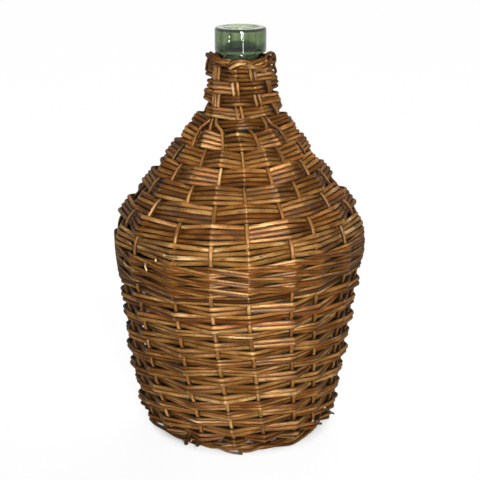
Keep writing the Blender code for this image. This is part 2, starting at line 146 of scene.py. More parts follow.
OUTLINE_STEPS = 12
LIP_STEPS = 6
EDGE_STEPS = 7
GLASS_SMOOTHING = math.radians(40.0)
ROD_SMOOTHING = math.radians(50.0)
AXIS_RADIUS = 0.001
CROWN_SHARE = 0.4
LIP_RISE = 0.0008
LIP_ROUNDING = 0.0040
COLLAR_EDGE = 0.0022
COLLAR_SKIRT = 0.0020
SKIRT_ROUNDING = 0.0014
TWIST_PLAY = 0.35
STRAND_PLAY = 0.05
RIM_OUT = 0.0014
RIM_SINK = 0.0032
FOOT_LIFT = 0.0003
FOOT_STRAND = 0.0017
HEEL_RODS = (0.10, 0.66)
HEEL_STEPS = 180
HUB_STICKS = 5
HUB_SPACING = 2.15
HUB_THICKNESS = 0.97
HUB_MARGIN = 0.0005
STICK_PLACES = (-1.0, -0.9, -0.5, -0.2, 0.2, 0.5, 0.9, 1.0)
LOOSE_PLACES = (0.0, 0.2, 0.4, 0.6, 0.8)

# First numbers of the random draws

ROW_DRAW = 100
STAKE_DRAW = 500
RIM_DRAW = 700
FOOT_DRAW = 800
HUB_DRAW = 900

# Grain of the willow and the glass, as (scale, detail, roughness)

FIBRES = ((1000.0, 1000.0, 40.0), 4.0, 0.7)
PATCHES = ((90.0, 90.0, 30.0), 2.0, 0.6)
STAINS = ((260.0, 260.0, 90.0), 3.0, 0.6)
SPECKS = ((1100.0, 1100.0, 700.0), 1.0, 0.5)
WAVES = ((45.0, 45.0, 12.0), 2.0, 0.5)
# Vertical streaks for the painted reflection bands on the glass
REFLECTION_STREAKS = ((160.0, 160.0, 8.0), 1.0, 0.5)
SEEDS = ((900.0, 900.0, 500.0), 1.0, 0.5)
MOTTLE = ((6.0, 6.0, 6.0), 3.0, 0.6)

# Willow: how much lighter a kind is, what its lightness is made of, its warmth, its pale kinks (partly worn,
# partly a painted glint), the painted shade in the grooves between rods, and its varnish.
# A span is the low and high end of what is read, and the values that it gives there if not 0 and 1.

WILLOW_LIGHTNESS = {"brown_willow": -0.12, "dark_willow": -0.21, "pale_willow": -0.11}
TONE_SHARE = 0.46
PATCH_SHARE = 0.56
FIBRE_SHARE = 0.24
FIBRE_SPAN = (0.3, 0.7)
PATCH_SPAN = (0.32, 0.68)
STAIN_SPAN = (0.55, 0.70, 0.0, 0.80)
SPECK_SPAN = (0.62, 0.70, 0.0, 0.85)
# Span of the fibre noise that breaks up the pale kink marks, partly worn and partly a painted glint
SCUFF_GLINT_SPAN = (0.35, 0.75, 0.05, 0.7)
# Span of facing over which the painted shade of the grooves comes in
GROOVE_SHADE_SPAN = (0.70, 0.18)
ROUGH_SPAN = (0.3, 0.7, 0.38, 0.50)
FLANK_SPAN = (0.7, 0.2, 0.0, 0.35)
GRAZING_SPAN = (0.45, 0.85, 0.0, 0.45)
BARK_RELIEF = (0.55, 0.00025)
STAIN_RELIEF = 0.6
BROWN_PLACE = 0.40
TAN_PLACE = 0.78
HUES = 17.3
WARMTH = ((0.0, (1.0, 0.80, 0.56)), (0.5, (1.0, 0.98, 0.80)), (1.0, (0.98, 1.0, 0.88)))
CUT_SHARE = 0.7
# How strongly the painted shade darkens the grooves, and how dark it gets as a share of the dark bark
GROOVE_SHADE_SHARE = 0.97
GROOVE_SHADE_DARKNESS = 0.35
VARNISH = {"Metallic": 0.24, "IOR": 1.28, "Anisotropic": 0.85, "Specular IOR Level": 0.5,
           "Specular Tint": (1.0, 0.96, 0.78)}

# Glass: where its collar and the painted shade below it change, in metres from the collar's lower
# edge, from its side and from the bottle's top, then its relief, how much less clear it is in places,
# and its colours, with painted reflection streaks and painted shade below the collar

# Painted shade: below this span the glass under the collar is coloured dark
SHADE_BELOW_SPAN = (0.0075, 0.0060)
OUTSIDE_SPAN = (0.0, -0.0010)
FOOT_TOP_SPAN = (0.0036, 0.0016)
FOOT_LOW_SPAN = (-0.0020, -0.0010)
FOOT_SIDE_SPAN = (-0.0012, -0.0006)
TOP_SPAN = (-0.0022, -0.0014)
LINE_SPAN = (-0.0022, -0.0016)
# Span of the noise for the painted reflection streaks
REFLECTION_STREAK_SPAN = (0.42, 0.62)
SEED_SPAN = (0.70, 0.80)
SEED_RELIEF = 0.05
GLASS_RELIEF = (0.25, 0.0015)
LESS_CLEAR = {"foot": 0.3, "outside": 0.25, "top": 0.40}
GLASS_ROUGHNESS = 0.02
GLASS_BENDING = 1.5
CLEAR_GLASS = (0.93, 0.95, 0.91)
# Colour of the painted reflection streaks, then of the painted shade below the collar
REFLECTION_STREAK_GLASS = (0.36, 0.47, 0.25)
GLASS_SHADE_BELOW = (0.08, 0.13, 0.06)
GLASS_FOOT = (0.15, 0.23, 0.11)
GLASS_TOP = (0.42, 0.48, 0.33)
GLASS_LINE = (0.020, 0.024, 0.012)

# Stage, with lamps as (name, place, target, width, height, power, spread in degrees, seen in gloss)

WORLD_LIGHT = 0.05
FLOOR_SIZE = 12.0
FLOOR_SHADE = 0.97
FLOOR_BOUNCE = (0.05, 0.05, 0.05)
BOUNCE_SHARE = 0.6
FLOOR_FINISH = {"Roughness": 0.9, "Specular IOR Level": 0.1}
SHADOW_SPAN = (0.12, 0.55, 0.88, 0.99)
CONTACT_SPAN = (0.074, 0.088)
SENSOR_WIDTH = 36.0
HALF_PIXEL = 0.5 / 480.0
LAMPS = (
    ("key", (0.06, -0.78, 0.42), (0.01, 0.0, 0.17), 0.07, 0.50, 1.88, 50.0, True),
    ("right_strip", (0.24, -1.10, 0.20), (0.0, 0.0, 0.30), 0.06, 0.50, 2.2, 180.0, True),
    ("left_strip", (-0.80, -0.64, 0.25), (0.0, 0.0, 0.30), 0.05, 0.09, 0.5, 180.0, True),
    ("back", (0.1, 1.0, 1.4), (0.0, 0.0, 0.17), 1.2, 1.2, 30.0, 180.0, False),
)

# Ends and strays that lie over the weave, as (places, radius, tone, taper); each place is given
# as (azimuth in degrees, millimetres out from the axis, millimetres up)

LOOSE_RODS = {
    "rim": (
        (((-73, 30.2, 347.8), (-64, 30.8, 347.2), (-53, 30.9, 345.9), (-42, 30.8, 344.4),
          (-30, 30.6, 344.2), (-21, 30.2, 343.6), (-13, 28.6, 342.4)), 0.0019, 0.4),
        (((-63, 29.2, 349.6), (-54, 29.6, 348.6), (-45, 30.2, 346.6), (-35, 30.2, 343.6),
          (-24, 29.4, 341.2)), 0.0019, 0.2),
        (((-50, 28.0, 350.2), (-43, 29.0, 347.8), (-35, 30.0, 345.8), (-27, 29.6, 342.4)), 0.0017, 0.3),
        (((-60, 31.0, 347.0), (-62, 32.2, 343.0), (-64, 32.6, 339.0), (-68, 32.2, 334.6)), 0.0015, 0.1, 0.7),
        (((-49, 30.8, 346.2), (-54, 32.2, 341.0), (-54, 32.4, 334.4)), 0.0014, 0.0, 0.7),
        (((-26, 29.4, 340.6), (-19, 31.0, 342.4), (-9, 31.6, 344.8), (1, 31.6, 345.7),
          (10, 31.4, 344.9), (18, 30.0, 342.6)), 0.0015, 0.6),
        (((-16, 32.8, 339.2), (-11, 33.2, 341.2), (-5, 33.0, 342.8), (2, 31.6, 343.4),
          (8, 29.6, 342.4)), 0.0016, 1.3),
        (((4, 30.6, 341.0), (12, 31.6, 341.8), (20, 31.8, 344.0), (31, 31.8, 346.0),
          (42, 31.0, 346.6), (47, 30.6, 349.2), (58, 30.4, 350.4), (71, 30.4, 348.4),
          (79, 30.4, 344.6), (73, 31.0, 341.9), (60, 31.4, 342.4), (46, 31.0, 343.8)), 0.0015, 0.5),
        (((44, 31.0, 341.0), (52, 31.8, 345.0), (62, 31.6, 347.4), (76, 30.4, 346.8)), 0.0016, 0.3),
        (((74, 30.6, 343.6), (66, 31.8, 339.4), (68, 32.6, 335.4), (73, 32.2, 333.0),
          (66, 31.2, 330.6)), 0.0014, 0.3, 0.8),
        (((12, 30.8, 341.2), (19, 32.8, 340.6), (29, 33.2, 338.6), (40, 32.8, 335.8)), 0.0019, 1.2),
    ),
    "belt_row_02": (
        (((-63.0, 113.0, 174.0), (-59.5, 116.8, 173.2), (-56, 117.4, 172.2), (-52.5, 115.4, 171.6)),
         0.0018, 1.6, 0.5),
    ),
    "belt_row_03": (
        (((-44.6, 114.6, 181.2), (-43.9, 116.6, 178.6), (-43.0, 116.8, 175.0)), 0.0013, 1.5, 0.9),
        (((-38.8, 111.0, 185.6), (-38.2, 115.8, 186.4)), 0.0012, 1.6),
        (((-34.4, 110.0, 190.6), (-33.8, 114.4, 191.6)), 0.0009, 1.6),
        (((-56.4, 109.0, 191.8), (-55.8, 114.8, 192.8)), 0.0010, 1.6),
    ),
    "foot": (
        (((-64.5, 92.2, 15.2), (-56, 93.4, 15.8), (-47, 92.0, 15.2), (-40, 88.4, 11.0),
          (-31, 86.0, 9.6)), 0.0016, -0.6),
        (((-33.6, 83.0, 14.0), (-35.2, 84.6, 8.0), (-36.4, 83.2, 3.6)), 0.0019, -0.5),
        (((-26.2, 83.4, 15.0), (-27.0, 85.4, 9.0), (-27.2, 84.2, 6.0)), 0.0019, -0.5),
        (((-17, 84.4, 9.6), (-11.5, 84.6, 6.4), (-6, 84.4, 3.4), (1.2, 83.6, 1.5)), 0.0013, 0.0, 0.8),
        (((-1, 82.0, 3.4), (6, 83.4, 4.4), (14, 85.2, 8.4), (25, 84.6, 6.6), (34, 83.6, 4.8),
          (43, 84.8, 8.4), (50, 86.0, 13.0)), 0.0013, 0.4),
        (((55, 93.8, 33.0), (61, 94.0, 25.0), (68, 93.4, 18.2)), 0.0011, -0.4, 0.8),
        (((45, 92.4, 25.4), (50, 92.4, 20.0), (54, 91.4, 17.0)), 0.0012, -0.3, 0.8),
    ),
}


# Settings

def metres(name, description, default):
    """Setting that holds a length."""
    return bpy.props.FloatProperty(name=name, description=description, default=default, unit='LENGTH')


def rgb(name, description, default):
    """Setting that holds a colour."""
    return bpy.props.FloatVectorProperty(name=name, description=description, default=default,
                                         subtype='COLOR', size=3, min=0.0, max=1.0)


class BottleSettings(bpy.types.PropertyGroup):
    """Sizes and colour of the glass bottle."""
    height: metres("Height", "Height of the bottle's lip above the ground", GLASS_HIGH.z)
    foot_radius: metres("Foot Radius", "Radius at the corner of the bottom and the side", 0.0786)
    heel_radius: metres("Heel Radius", "Rounding of the corner between bottom and side", 0.0117)
    shoulder_radius: metres("Shoulder Radius", "Radius at the corner of the side and the shoulder", 0.1046)
    shoulder_height: metres("Shoulder Height", "Height of the corner of the side and the shoulder", 0.1941)
    shoulder_fillet: metres("Shoulder Rounding", "Rounding of the shoulder", 0.050)
    neck_root_radius: metres(
        "Neck Root Radius", "Radius at the corner of the shoulder and the neck", 0.0191)
    neck_root_height: metres(
        "Neck Root Height", "Height of the corner of the shoulder and the neck", 0.2975)
    neck_root_fillet: metres("Neck Root Rounding", "Rounding between shoulder and neck", 0.060)
    neck_top_radius: metres("Neck Top Radius", "Radius of the neck under the collar", 0.0163)
    collar_radius: metres("Collar Radius", "Outer radius of the collar round the mouth", 0.0227)
    collar_height: metres("Collar Height", "Height of the collar", 0.0188)
    bore_radius: metres("Bore Radius", "Radius of the mouth's bore", 0.0138)
    wall: metres("Wall", "Thickness of the glass", 0.0026)
    punt_radius: metres("Punt Radius", "Radius of the hollow under the bottle", 0.056)
    punt_height: metres("Punt Height", "Height of the hollow under the bottle", 0.012)
    segments: bpy.props.IntProperty(
        name="Segments", description="Facets round the bottle", default=120, min=24)
    tint: rgb("Glass Tint", "Colour that the glass gives to what shows through it", (0.24, 0.40, 0.03))
    depth: bpy.props.FloatProperty(
        name="Glass Depth", description="How fast the glass darkens with its thickness, per metre",
        default=95.0, min=0.0)


class WickerSettings(bpy.types.PropertyGroup):
    """Sizes and colours of the rods."""
    stake_radius: metres("Stake Radius", "Radius of an upright stake", 0.0019)
    rod_radius: metres("Rod Radius", "Radius of a woven rod", 0.00205)
    neck_rod_radius: metres("Neck Rod Radius", "Radius of a woven rod at the neck", 0.00165)
    foot_rod_radius: metres("Foot Border Radius", "Radius of the border under the jacket", 0.0042)
    belt_bottom: metres("Belt Bottom", "Height at which the belt begins", 0.160)
    belt_top: metres("Belt Top", "Height at which the belt ends", 0.187)
    neck_weave_bottom: metres(
        "Neck Weave Bottom", "Height at which the weave of the neck begins", 0.2900)
    sides: bpy.props.IntProperty(
        name="Rod Sides", description="Facets round each rod, as a bevel resolution", default=3, min=1)
    dark: rgb("Dark Willow", "Colour of the darkest bark", (0.030, 0.011, 0.003))
    brown: rgb("Brown Willow", "Main colour of the varnished rods", (0.096, 0.034, 0.0052))
    tan: rgb("Tan Willow", "Colour of the lighter rods", (0.220, 0.109, 0.034))
    light: rgb("Light Willow", "Colour of the lightest patches on the rods", (0.42, 0.285, 0.155))
    # Pale also paints the kinks' glints along with their worn marks.
    pale: rgb("Pale Wood", "Colour of cut ends and worn kinks", (0.50, 0.32, 0.14))


class StageSettings(bpy.types.PropertyGroup):
    """Camera and floor."""
    camera_distance: metres(
        "Camera Distance", "Distance of the camera in front of the bottle's axis", 1.073)
    camera_height: metres("Camera Height", "Height of the camera above the floor", 0.5075)
    camera_pitch: bpy.props.FloatProperty(
        name="Camera Pitch", description="Angle by which the camera looks down",
        default=math.radians(17.16), unit='ROTATION')
    camera_lens: bpy.props.FloatProperty(
        name="Lens", description="Focal length on a sensor 36 mm wide", default=91.7, min=10.0)
    floor_color: rgb("Floor Colour", "Colour of the floor", (0.90, 0.90, 0.89))


# Outline of the bottle, as (r, z)

def round_axis(azimuth, r, z):
    """Point at an azimuth, a distance from the bottle's axis and a height."""
    return Vector((r * math.sin(azimuth), -r * math.cos(azimuth), z))


def smoothstep(low, high, value):
    """0 below the low value, 1 above the high one, and smooth between them."""
    t = min(1.0, max(0.0, (value - low) / (high - low)))
    return t * t * (3.0 - 2.0 * t)


def from_stop_to_stop(stops, value):
    """Smooth way between stops given as (place, height), and 0 outside them."""
    for (low, before), (high, after) in zip(stops, stops[1:]):
        if low <= value <= high:
            return before + (after - before) * smoothstep(low, high, value)
    return 0.0


def arc(center, radius, start, end, steps):
    """Points of an arc; angles are measured from the outward radial direction."""
    angles = [start + (end - start) * n / steps for n in range(steps + 1)]
    return [(center[0] + radius * math.cos(a), center[1] + radius * math.sin(a)) for a in angles]


def corner_arms(before, corner, after):
    """Directions from a corner to the points before and after it, and half the angle between them."""
    back = (Vector(before) - Vector(corner)).normalized()
    ahead = (Vector(after) - Vector(corner)).normalized()
    return back, ahead, 0.5 * back.angle(ahead)


def rounding_center(before, corner, after, rounding):
    """Centre of the arc that rounds the corner between two straight lines."""
    back, ahead, half_angle = corner_arms(before, corner, after)
    return Vector(corner) + (back + ahead).normalized() * rounding / math.sin(half_angle)


def rounded_corner(before, corner, after, rounding, steps):
    """Arc that rounds the corner between two straight lines."""
    back, ahead, half_angle = corner_arms(before, corner, after)
    center = rounding_center(before, corner, after, rounding)
    start = Vector(corner) + back * rounding / math.tan(half_angle) - center
    end = Vector(corner) + ahead * rounding / math.tan(half_angle) - center
    first = math.atan2(start.y, start.x)
    turn = math.remainder(math.atan2(end.y, end.x) - first, TURN)
    return arc(center, rounding, first, first + turn, steps)


def normals(points):
    """Unit normals of an outline that runs outwards and up, pointing away from the glass."""
    result = []
    for before, after in zip([points[0]] + points[:-1], points[1:] + [points[-1]]):
        r = after[0] - before[0]
        z = after[1] - before[1]
        length = math.hypot(r, z)
        result.append((z / length, -r / length))
    return result


class Weave:
    """The bottle's outline, the line of the stakes outside it, and where the stakes stand.

    Places on the jacket are given by an azimuth and by the distance s along the stakes' line
    from the hub.
    """

    def __init__(self, bottle, wicker):
        self.bottle = bottle
        self.wicker = wicker
        reach = self.foot_ring_reach()
        height = wicker.foot_rod_radius - FOOT_FLAT_DEPTH
        self.bottom = height + reach * math.cos(FOOT_RING_ANGLE) - bottle.heel_radius
        self.corners = [(bottle.punt_radius, self.bottom), (bottle.foot_radius, self.bottom),
                        (bottle.shoulder_radius, bottle.shoulder_height),
                        (bottle.neck_root_radius, bottle.neck_root_height),
                        (bottle.neck_top_radius, self.neck_top())]
        self.lay_line()
        self.set_marks()

    def neck_top(self):
        """Height at which the neck ends and the collar begins."""
        return self.bottle.height - self.bottle.collar_height

    def foot_ring_reach(self):
        """Distance from the heel's centre to the centre of the foot border."""
        return (self.bottle.heel_radius + self.stake_offset(self.bottle.foot_radius)
                + self.wicker.stake_radius + SEAT_GAP + self.wicker.foot_rod_radius)

    def wall(self, steps):
        """Outer wall of the bottle from its bottom to its collar, with round corners."""
        outline = [self.corners[0]]
        fillets = (self.bottle.heel_radius, self.bottle.shoulder_fillet, self.bottle.neck_root_fillet)
        for n, fillet in enumerate(fillets):
            outline += rounded_corner(*self.corners[n:n + 3], fillet, steps)
        outline.append(self.corners[-1])
        return outline

    def heel_center(self):
        """Centre (r, z) of the rounding between bottom and side."""
        return rounding_center(*self.corners[:3], self.bottle.heel_radius)

    def seat_distance(self, rod_radius, side):
        """Least distance from a stake's axis to the axis of a rod in front of it or behind it."""
        reach = self.wicker.stake_radius + 0.5 * STAKE_SAG + SEAT_GAP
        return reach + rod_radius * (ROD_BACK if side > 0 else 1.0)

    def passing_offset(self, rod_radius, side, spacing, radius):
        """Offset at which a rod bends at a stake, so that its straight runs clear the stake."""
        rise = self.seat_distance(rod_radius, 1) + self.seat_distance(rod_radius, -1)
        angle = max(0.0, math.atan(rise / spacing) + side * 0.5 * spacing / radius)
        return side * self.seat_distance(rod_radius, side) / math.cos(angle)

    def stake_offset(self, radius):
        """Distance from the glass to the stakes' axes."""
        rod = self.wicker.rod_radius
        spacing = max(TURN * radius / STAKE_COUNT, LEAST_SPACING * rod)
        return ROD_BACK * rod + SEAT_GAP - self.passing_offset(rod, -1, spacing, radius)

    def lay_line(self):
        """The stakes' line, as points (r, z) with their distances from the hub."""
        lift = self.stake_offset(self.bottle.foot_radius)
        wall = []
        corners = self.wall(LINE_STEPS)
        for a, b in zip(corners, corners[1:]):
            count = max(1, round(math.hypot(b[0] - a[0], b[1] - a[1]) / FINE_STEP))
            wall += [(a[0] + (b[0] - a[0]) * n / count, a[1] + (b[1] - a[1]) * n / count)
                     for n in range(count)]
        wall.append(corners[-1])
        line = [(HUB_RADIUS, self.bottom - lift)]
        for (r, z), (nr, nz) in zip(wall, normals(wall)):
            low = r < self.bottle.foot_radius and z < self.bottle.shoulder_height
            offset = lift if low else self.stake_offset(r)
            line.append((r + nr * offset, z + nz * offset))
        steps = [math.hypot(b[0] - a[0], b[1] - a[1]) for a, b in zip(line, line[1:])]
        self.distances = np.concatenate(([0.0], np.cumsum(steps)))
        self.line_r = np.array([r for r, z in line])
        self.line_z = np.array([z for r, z in line])
        self.heel_start = self.heel_center()[0] - HUB_RADIUS
        self.heel_rounding = self.bottle.heel_radius + lift

    def at(self, s):
        """Position (r, z) at the distance s."""
        return (float(np.interp(s, self.distances, self.line_r)),
                float(np.interp(s, self.distances, self.line_z)))

    def at_height(self, height):
        """Distance s on the side wall at the given height."""
        side = self.distances > self.heel_start + self.heel_rounding
        return float(np.interp(height, self.line_z[side], self.distances[side]))

    def lean(self, s):
        """Angle of the line from the vertical, positive where it runs outwards."""
        a = self.at(s - SLOPE_REACH)
        b = self.at(s + SLOPE_REACH)
        return math.atan2(b[0] - a[0], b[1] - a[1])

    def bend(self, s, reach):
        """Mean curvature of the line within the reach, positive where it bulges outwards."""
        return (self.lean(s - reach) - self.lean(s + reach)) / (2.0 * reach)

    def set_marks(self):
        """Distances s at which one part of the weave ends and the next begins."""
        neck_start = self.at_height(self.wicker.neck_weave_bottom)
        self.marks = {
            "hub": 0.0,
            "base_end": self.heel_start,
            "side_start": self.heel_start + self.heel_rounding * SIDE_ROW_START_ANGLE,
            "belt_start": self.at_height(self.wicker.belt_bottom),
            "belt_end": self.at_height(self.wicker.belt_top),
            "neck_start": neck_start,
            "shoulder_end": neck_start - BUNDLING_LENGTH,
            "rim_start": self.at_height(self.neck_top() - RIM_CLEARANCE - RIM_HEIGHT),
        }
        self.widest = float(self.line_r.max())

    def members(self, bundle):
        """Stakes of a bundle at the neck."""
        return [n for n in range(STAKE_COUNT) if min(n // 2, BUNDLE_COUNT - 1) == bundle]

    def stake_azimuth(self, stake, s):
        """Azimuth of a stake at the distance s."""
        step = TURN / STAKE_COUNT
        r, z = self.at(s)
        number = stake % STAKE_COUNT
        turn = stake - number
        stray = STAKE_STRAY[number] * (r / self.widest) ** 2
        depth = max(0.0, 1.0 - z / self.wicker.belt_bottom)
        azimuth = FIRST_STAKE_AZIMUTH + stake * step + STAKE_LEAN * depth ** STAKE_LEAN_GROWTH + stray
        members = self.members(min(number // 2, BUNDLE_COUNT - 1))
        middle = sum(members) / len(members)
        bundled = (FIRST_STAKE_AZIMUTH + (middle + turn) * step
                   + (number - middle) * (2.0 * self.wicker.stake_radius + SEAT_GAP) / r)
        share = smoothstep(self.marks["shoulder_end"] - GATHER_BELOW,
                           self.marks["neck_start"] + GATHER_ABOVE, s)
        twist = NECK_TWIST * smoothstep(self.marks["shoulder_end"] - NECK_TWIST_LENGTH,
                                        self.marks["rim_start"], s)
        return azimuth * (1.0 - share) + bundled * share - twist

    def risen(self, azimuth, s):
        """The rows rise slightly to the right: the shifted distance and the local stretch."""
        low = self.marks["side_start"]
        high = self.marks["rim_start"]

        def shifted(value):
            """Where a row passes that would lie at this distance if it didn't rise."""
            share = smoothstep(low, low + RISE_BLEND, value)
            share *= 1.0 - smoothstep(high - RISE_BLEND, high, value)
            waver = sum(height * math.sin(waves * azimuth + climb * value + start)
                        for height, waves, climb, start in WAVERS)
            return value + (ROW_RISE * self.at(value)[0] * math.sin(azimuth) + waver) * share

        stretch = (shifted(s + SLOPE_REACH) - shifted(s - SLOPE_REACH)) / (2.0 * SLOPE_REACH)
        return shifted(s), stretch

    def outward(self, azimuth, s):
        """Direction out of the jacket."""
        lean = self.lean(s)
        return round_axis(azimuth, math.cos(lean), -math.sin(lean))

    def bulge(self, azimuth, z):
        """How much fuller the jacket is than a round one: its body to the left, its neck to the right."""
        left = from_stop_to_stop(LEFT_BULGE, z) * (1.0 - math.sin(azimuth))
        right = from_stop_to_stop(RIGHT_BULGE, z) * (1.0 + math.sin(azimuth))
        return 0.5 * (left + right)

    def point(self, azimuth, s, offset):
        """Point in space at an azimuth, a distance s and an offset out from the stakes' line."""
        r, z = self.at(s)
        lean = self.lean(s)
        r += offset * math.cos(lean) + self.bulge(azimuth, z)
        z -= offset * math.sin(lean)
        return round_axis(azimuth, r, z)


# Rods

def deselect():
    """Deselect everything, before a new piece is added."""
    bpy.ops.object.select_all(action='DESELECT')


def hermite(a, b, leave, arrive, t):
    """Point between a and b on a curve with the given end tangents."""
    t2 = t * t
    t3 = t2 * t
    return (a * (2.0 * t3 - 3.0 * t2 + 1.0) + leave * (t3 - 2.0 * t2 + t)
            + b * (3.0 * t2 - 2.0 * t3) + arrive * (t3 - t2))


def rod_curve(knots, roundness, places):
    """Points of a rod that runs nearly straight from knot to knot and bends at each of them.

    The second list says where each point lies: after which knot, and what share of the way on.
    """
    last = len(knots) - 1
    tangents = [(knots[min(last, n + 1)] - knots[max(0, n - 1)]) * (0.5 * roundness)
                for n in range(len(knots))]
    spots = [(n, t) for n in range(last) for t in places]
    points = [hermite(knots[n], knots[n + 1], tangents[n], tangents[n + 1], t) for n, t in spots]
    return points + [knots[last]], spots + [(last, 0.0)]


def rods_mesh(name, rods):
    """One mesh of round rods.

    Each rod has points, radii, pale marks along it, partly worn and partly a painted glint, and a tone of
    its own.
    The mesh carries what its material reads: where a point lies in its rod, the rod's tone, those pale
    marks, how far it faces out, which gives the painted shade in the grooves, and its cut ends.
    """
    deselect()
    bpy.ops.curve.primitive_nurbs_path_add()
    piece = bpy.context.object
    piece.name = name
    curve = piece.data
    curve.name = name
    curve.splines.clear()
    curve.bevel_depth = 1.0
    curve.bevel_resolution = bpy.context.scene.demijohn_wicker.sides
    curve.use_fill_caps = False
    curve.twist_mode = 'MINIMUM'
    for rod in rods:
        spline = curve.splines.new('POLY')
        spline.points.add(len(rod["points"]) - 1)
        spline.points.foreach_set("co", [c for p in rod["points"] for c in (*p, 1.0)])
        spline.points.foreach_set("radius", rod["radii"])
        spline.use_smooth = True
    bpy.ops.object.convert(target='MESH')
    piece = bpy.context.object
    mesh = piece.data
    around = len(mesh.vertices) // sum(len(rod["points"]) for rod in rods)
    mark_rods(mesh, rods, around)
    lay_out_rods(mesh, rods, around)
    close_ends(piece, around)
    return piece


def write_attribute(mesh, name, kind, domain, values):
    """Attribute of the mesh, with one value for each point or face."""
    field = "vector" if kind == 'FLOAT_VECTOR' else "value"
    mesh.attributes.new(name, kind, domain).data.foreach_set(field, values)


def mark_rods(mesh, rods, around):
    """Attributes of the rods' points: place in the rod, tone, pale marks (partly worn, partly a painted
    glint) and how far they face outwards, which the material turns into painted shade in the grooves.
    """
    surface = np.empty(len(mesh.vertices) * 3)
    mesh.vertices.foreach_get("co", surface)
    surface = surface.reshape(-1, around, 3)
    angles = np.arange(around) * TURN / around
    circle = np.stack((np.cos(angles), np.sin(angles)), axis=1)
    grain = []
    facing = []
    tone = []
    wear_and_glint = []
    first = 0
    for number, rod in enumerate(rods):
        points = np.array([tuple(p) for p in rod["points"]])
        steps = np.linalg.norm(points[1:] - points[:-1], axis=1)
        rings = np.empty((len(points), around, 3))
        rings[:, :, :2] = circle * np.array(rod["radii"])[:, None, None]
        rings[:, :, 2] = np.concatenate(([0.0], np.cumsum(steps)))[:, None] + rod["tone"] * 7.0 + number
        grain.append(rings.ravel())
        away = surface[first:first + len(points)] - points[:, None, :]
        away /= np.maximum(np.linalg.norm(away, axis=2, keepdims=True), 1e-9)
        outs = np.array([tuple(out) for out in rod["outs"]])
        facing.append((away * outs[:, None, :]).sum(axis=2).ravel())
        tone += [rod["tone"]] * (len(points) * around)
        wear_and_glint += [w for w in rod["wear_and_glint"] for _ in range(around)]
        first += len(points)
    write_attribute(mesh, "grain", 'FLOAT_VECTOR', 'POINT', np.concatenate(grain))
    write_attribute(mesh, "facing", 'FLOAT', 'POINT', np.concatenate(facing))
    write_attribute(mesh, "tone", 'FLOAT', 'POINT', tone)
    write_attribute(mesh, "wear_and_glint", 'FLOAT', 'POINT', wear_and_glint)


def lay_out_rods(mesh, rods, around):
    """A flat layout of the rods in strips side by side, for textures made from the material."""
    rings = [len(rod["points"]) - 1 for rod in rods]
    run = max(8, round(math.sqrt(sum(rings) * around / 2.0)))
    strips = sum(math.ceil(count / run) for count in rings)
    edges = [0.04 + 0.92 * side / around for side in range(around + 1)]
    uv = []
    strip = 0
    for count in rings:
        for ring in range(count):
            column = strip + ring // run
            low = ring % run / run * 0.96
            high = (ring % run + 1) / run * 0.96
            for left, right in zip(edges, edges[1:]):
                left = (column + left) / strips
                right = (column + right) / strips
                uv += (right, low, right, high, left, high, left, low)
        strip += math.ceil(count / run)
    mesh.uv_layers.new(name="OFBake").data.foreach_set("uv", uv)


def close_ends(piece, around):
    """Caps on the rods' ends, with a mark that tells them from the bark."""
    walls = len(piece.data.polygons)
    bpy.ops.object.mode_set(mode='EDIT')
    bpy.ops.mesh.select_all(action='SELECT')
    bpy.ops.mesh.fill_holes(sides=around)
    bpy.ops.object.mode_set(mode='OBJECT')
    mesh = piece.data
    ends = len(mesh.polygons) - walls
    write_attribute(mesh, "cut", 'FLOAT', 'FACE', [0.0] * walls + [1.0] * ends)
    layout = mesh.uv_layers["OFBake"].data
    reach = min(0.3 / ends, 0.008)
    for number, cap in enumerate(mesh.polygons[walls:]):
        middle = (number + 0.5) / ends
        for n, loop in enumerate(cap.loop_indices):
            turn = TURN * n / cap.loop_total
            layout[loop].uv = (middle + reach * math.cos(turn), 0.98 + reach * math.sin(turn))
    bpy.ops.object.shade_smooth_by_angle(angle=ROD_SMOOTHING)


def rod(points, radii, outs, tone, wear_and_glint=None):
    """What rods_mesh needs to know of a rod; outs are the directions out of the jacket."""
    return {"points": points, "radii": radii, "outs": outs, "tone": tone,
            "wear_and_glint": wear_and_glint or [0.0] * len(points)}


def dress(piece, slot_name, *nodes):
    """Give a finished piece its material and its body, and hide the solids that it stands for."""
    material = glass_material() if slot_name == "green_glass" else willow_material(slot_name)
    piece.data.materials.clear()
    piece.data.materials.append(material)
    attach(piece, "root")
    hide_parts(*nodes)


# Crossings of the rows

def singles(first, period):
    """Crossings round single stakes: behind every period-th stake, in front of the rest."""
    return [(stake, -1 if (stake - first) % period == 0 else 1)
            for stake in range(first - 1, first + STAKE_COUNT + 2)]


def bundles(weave, first):
    """Crossings of one row round the bundles of the neck, with one crossing more at each end."""
    crossings = []
    for place in range(-1, BUNDLE_COUNT + 2):
        members = weave.members((first + place) % BUNDLE_COUNT)
        if place < 0:
            members = members[-1:]
        elif place > BUNDLE_COUNT:
            members = members[:1]
        turn = (first + place) // BUNDLE_COUNT
        side = -1 if place % 2 == 0 else 1
        crossings += [(stake + turn * STAKE_COUNT, side) for stake in members]
    return crossings


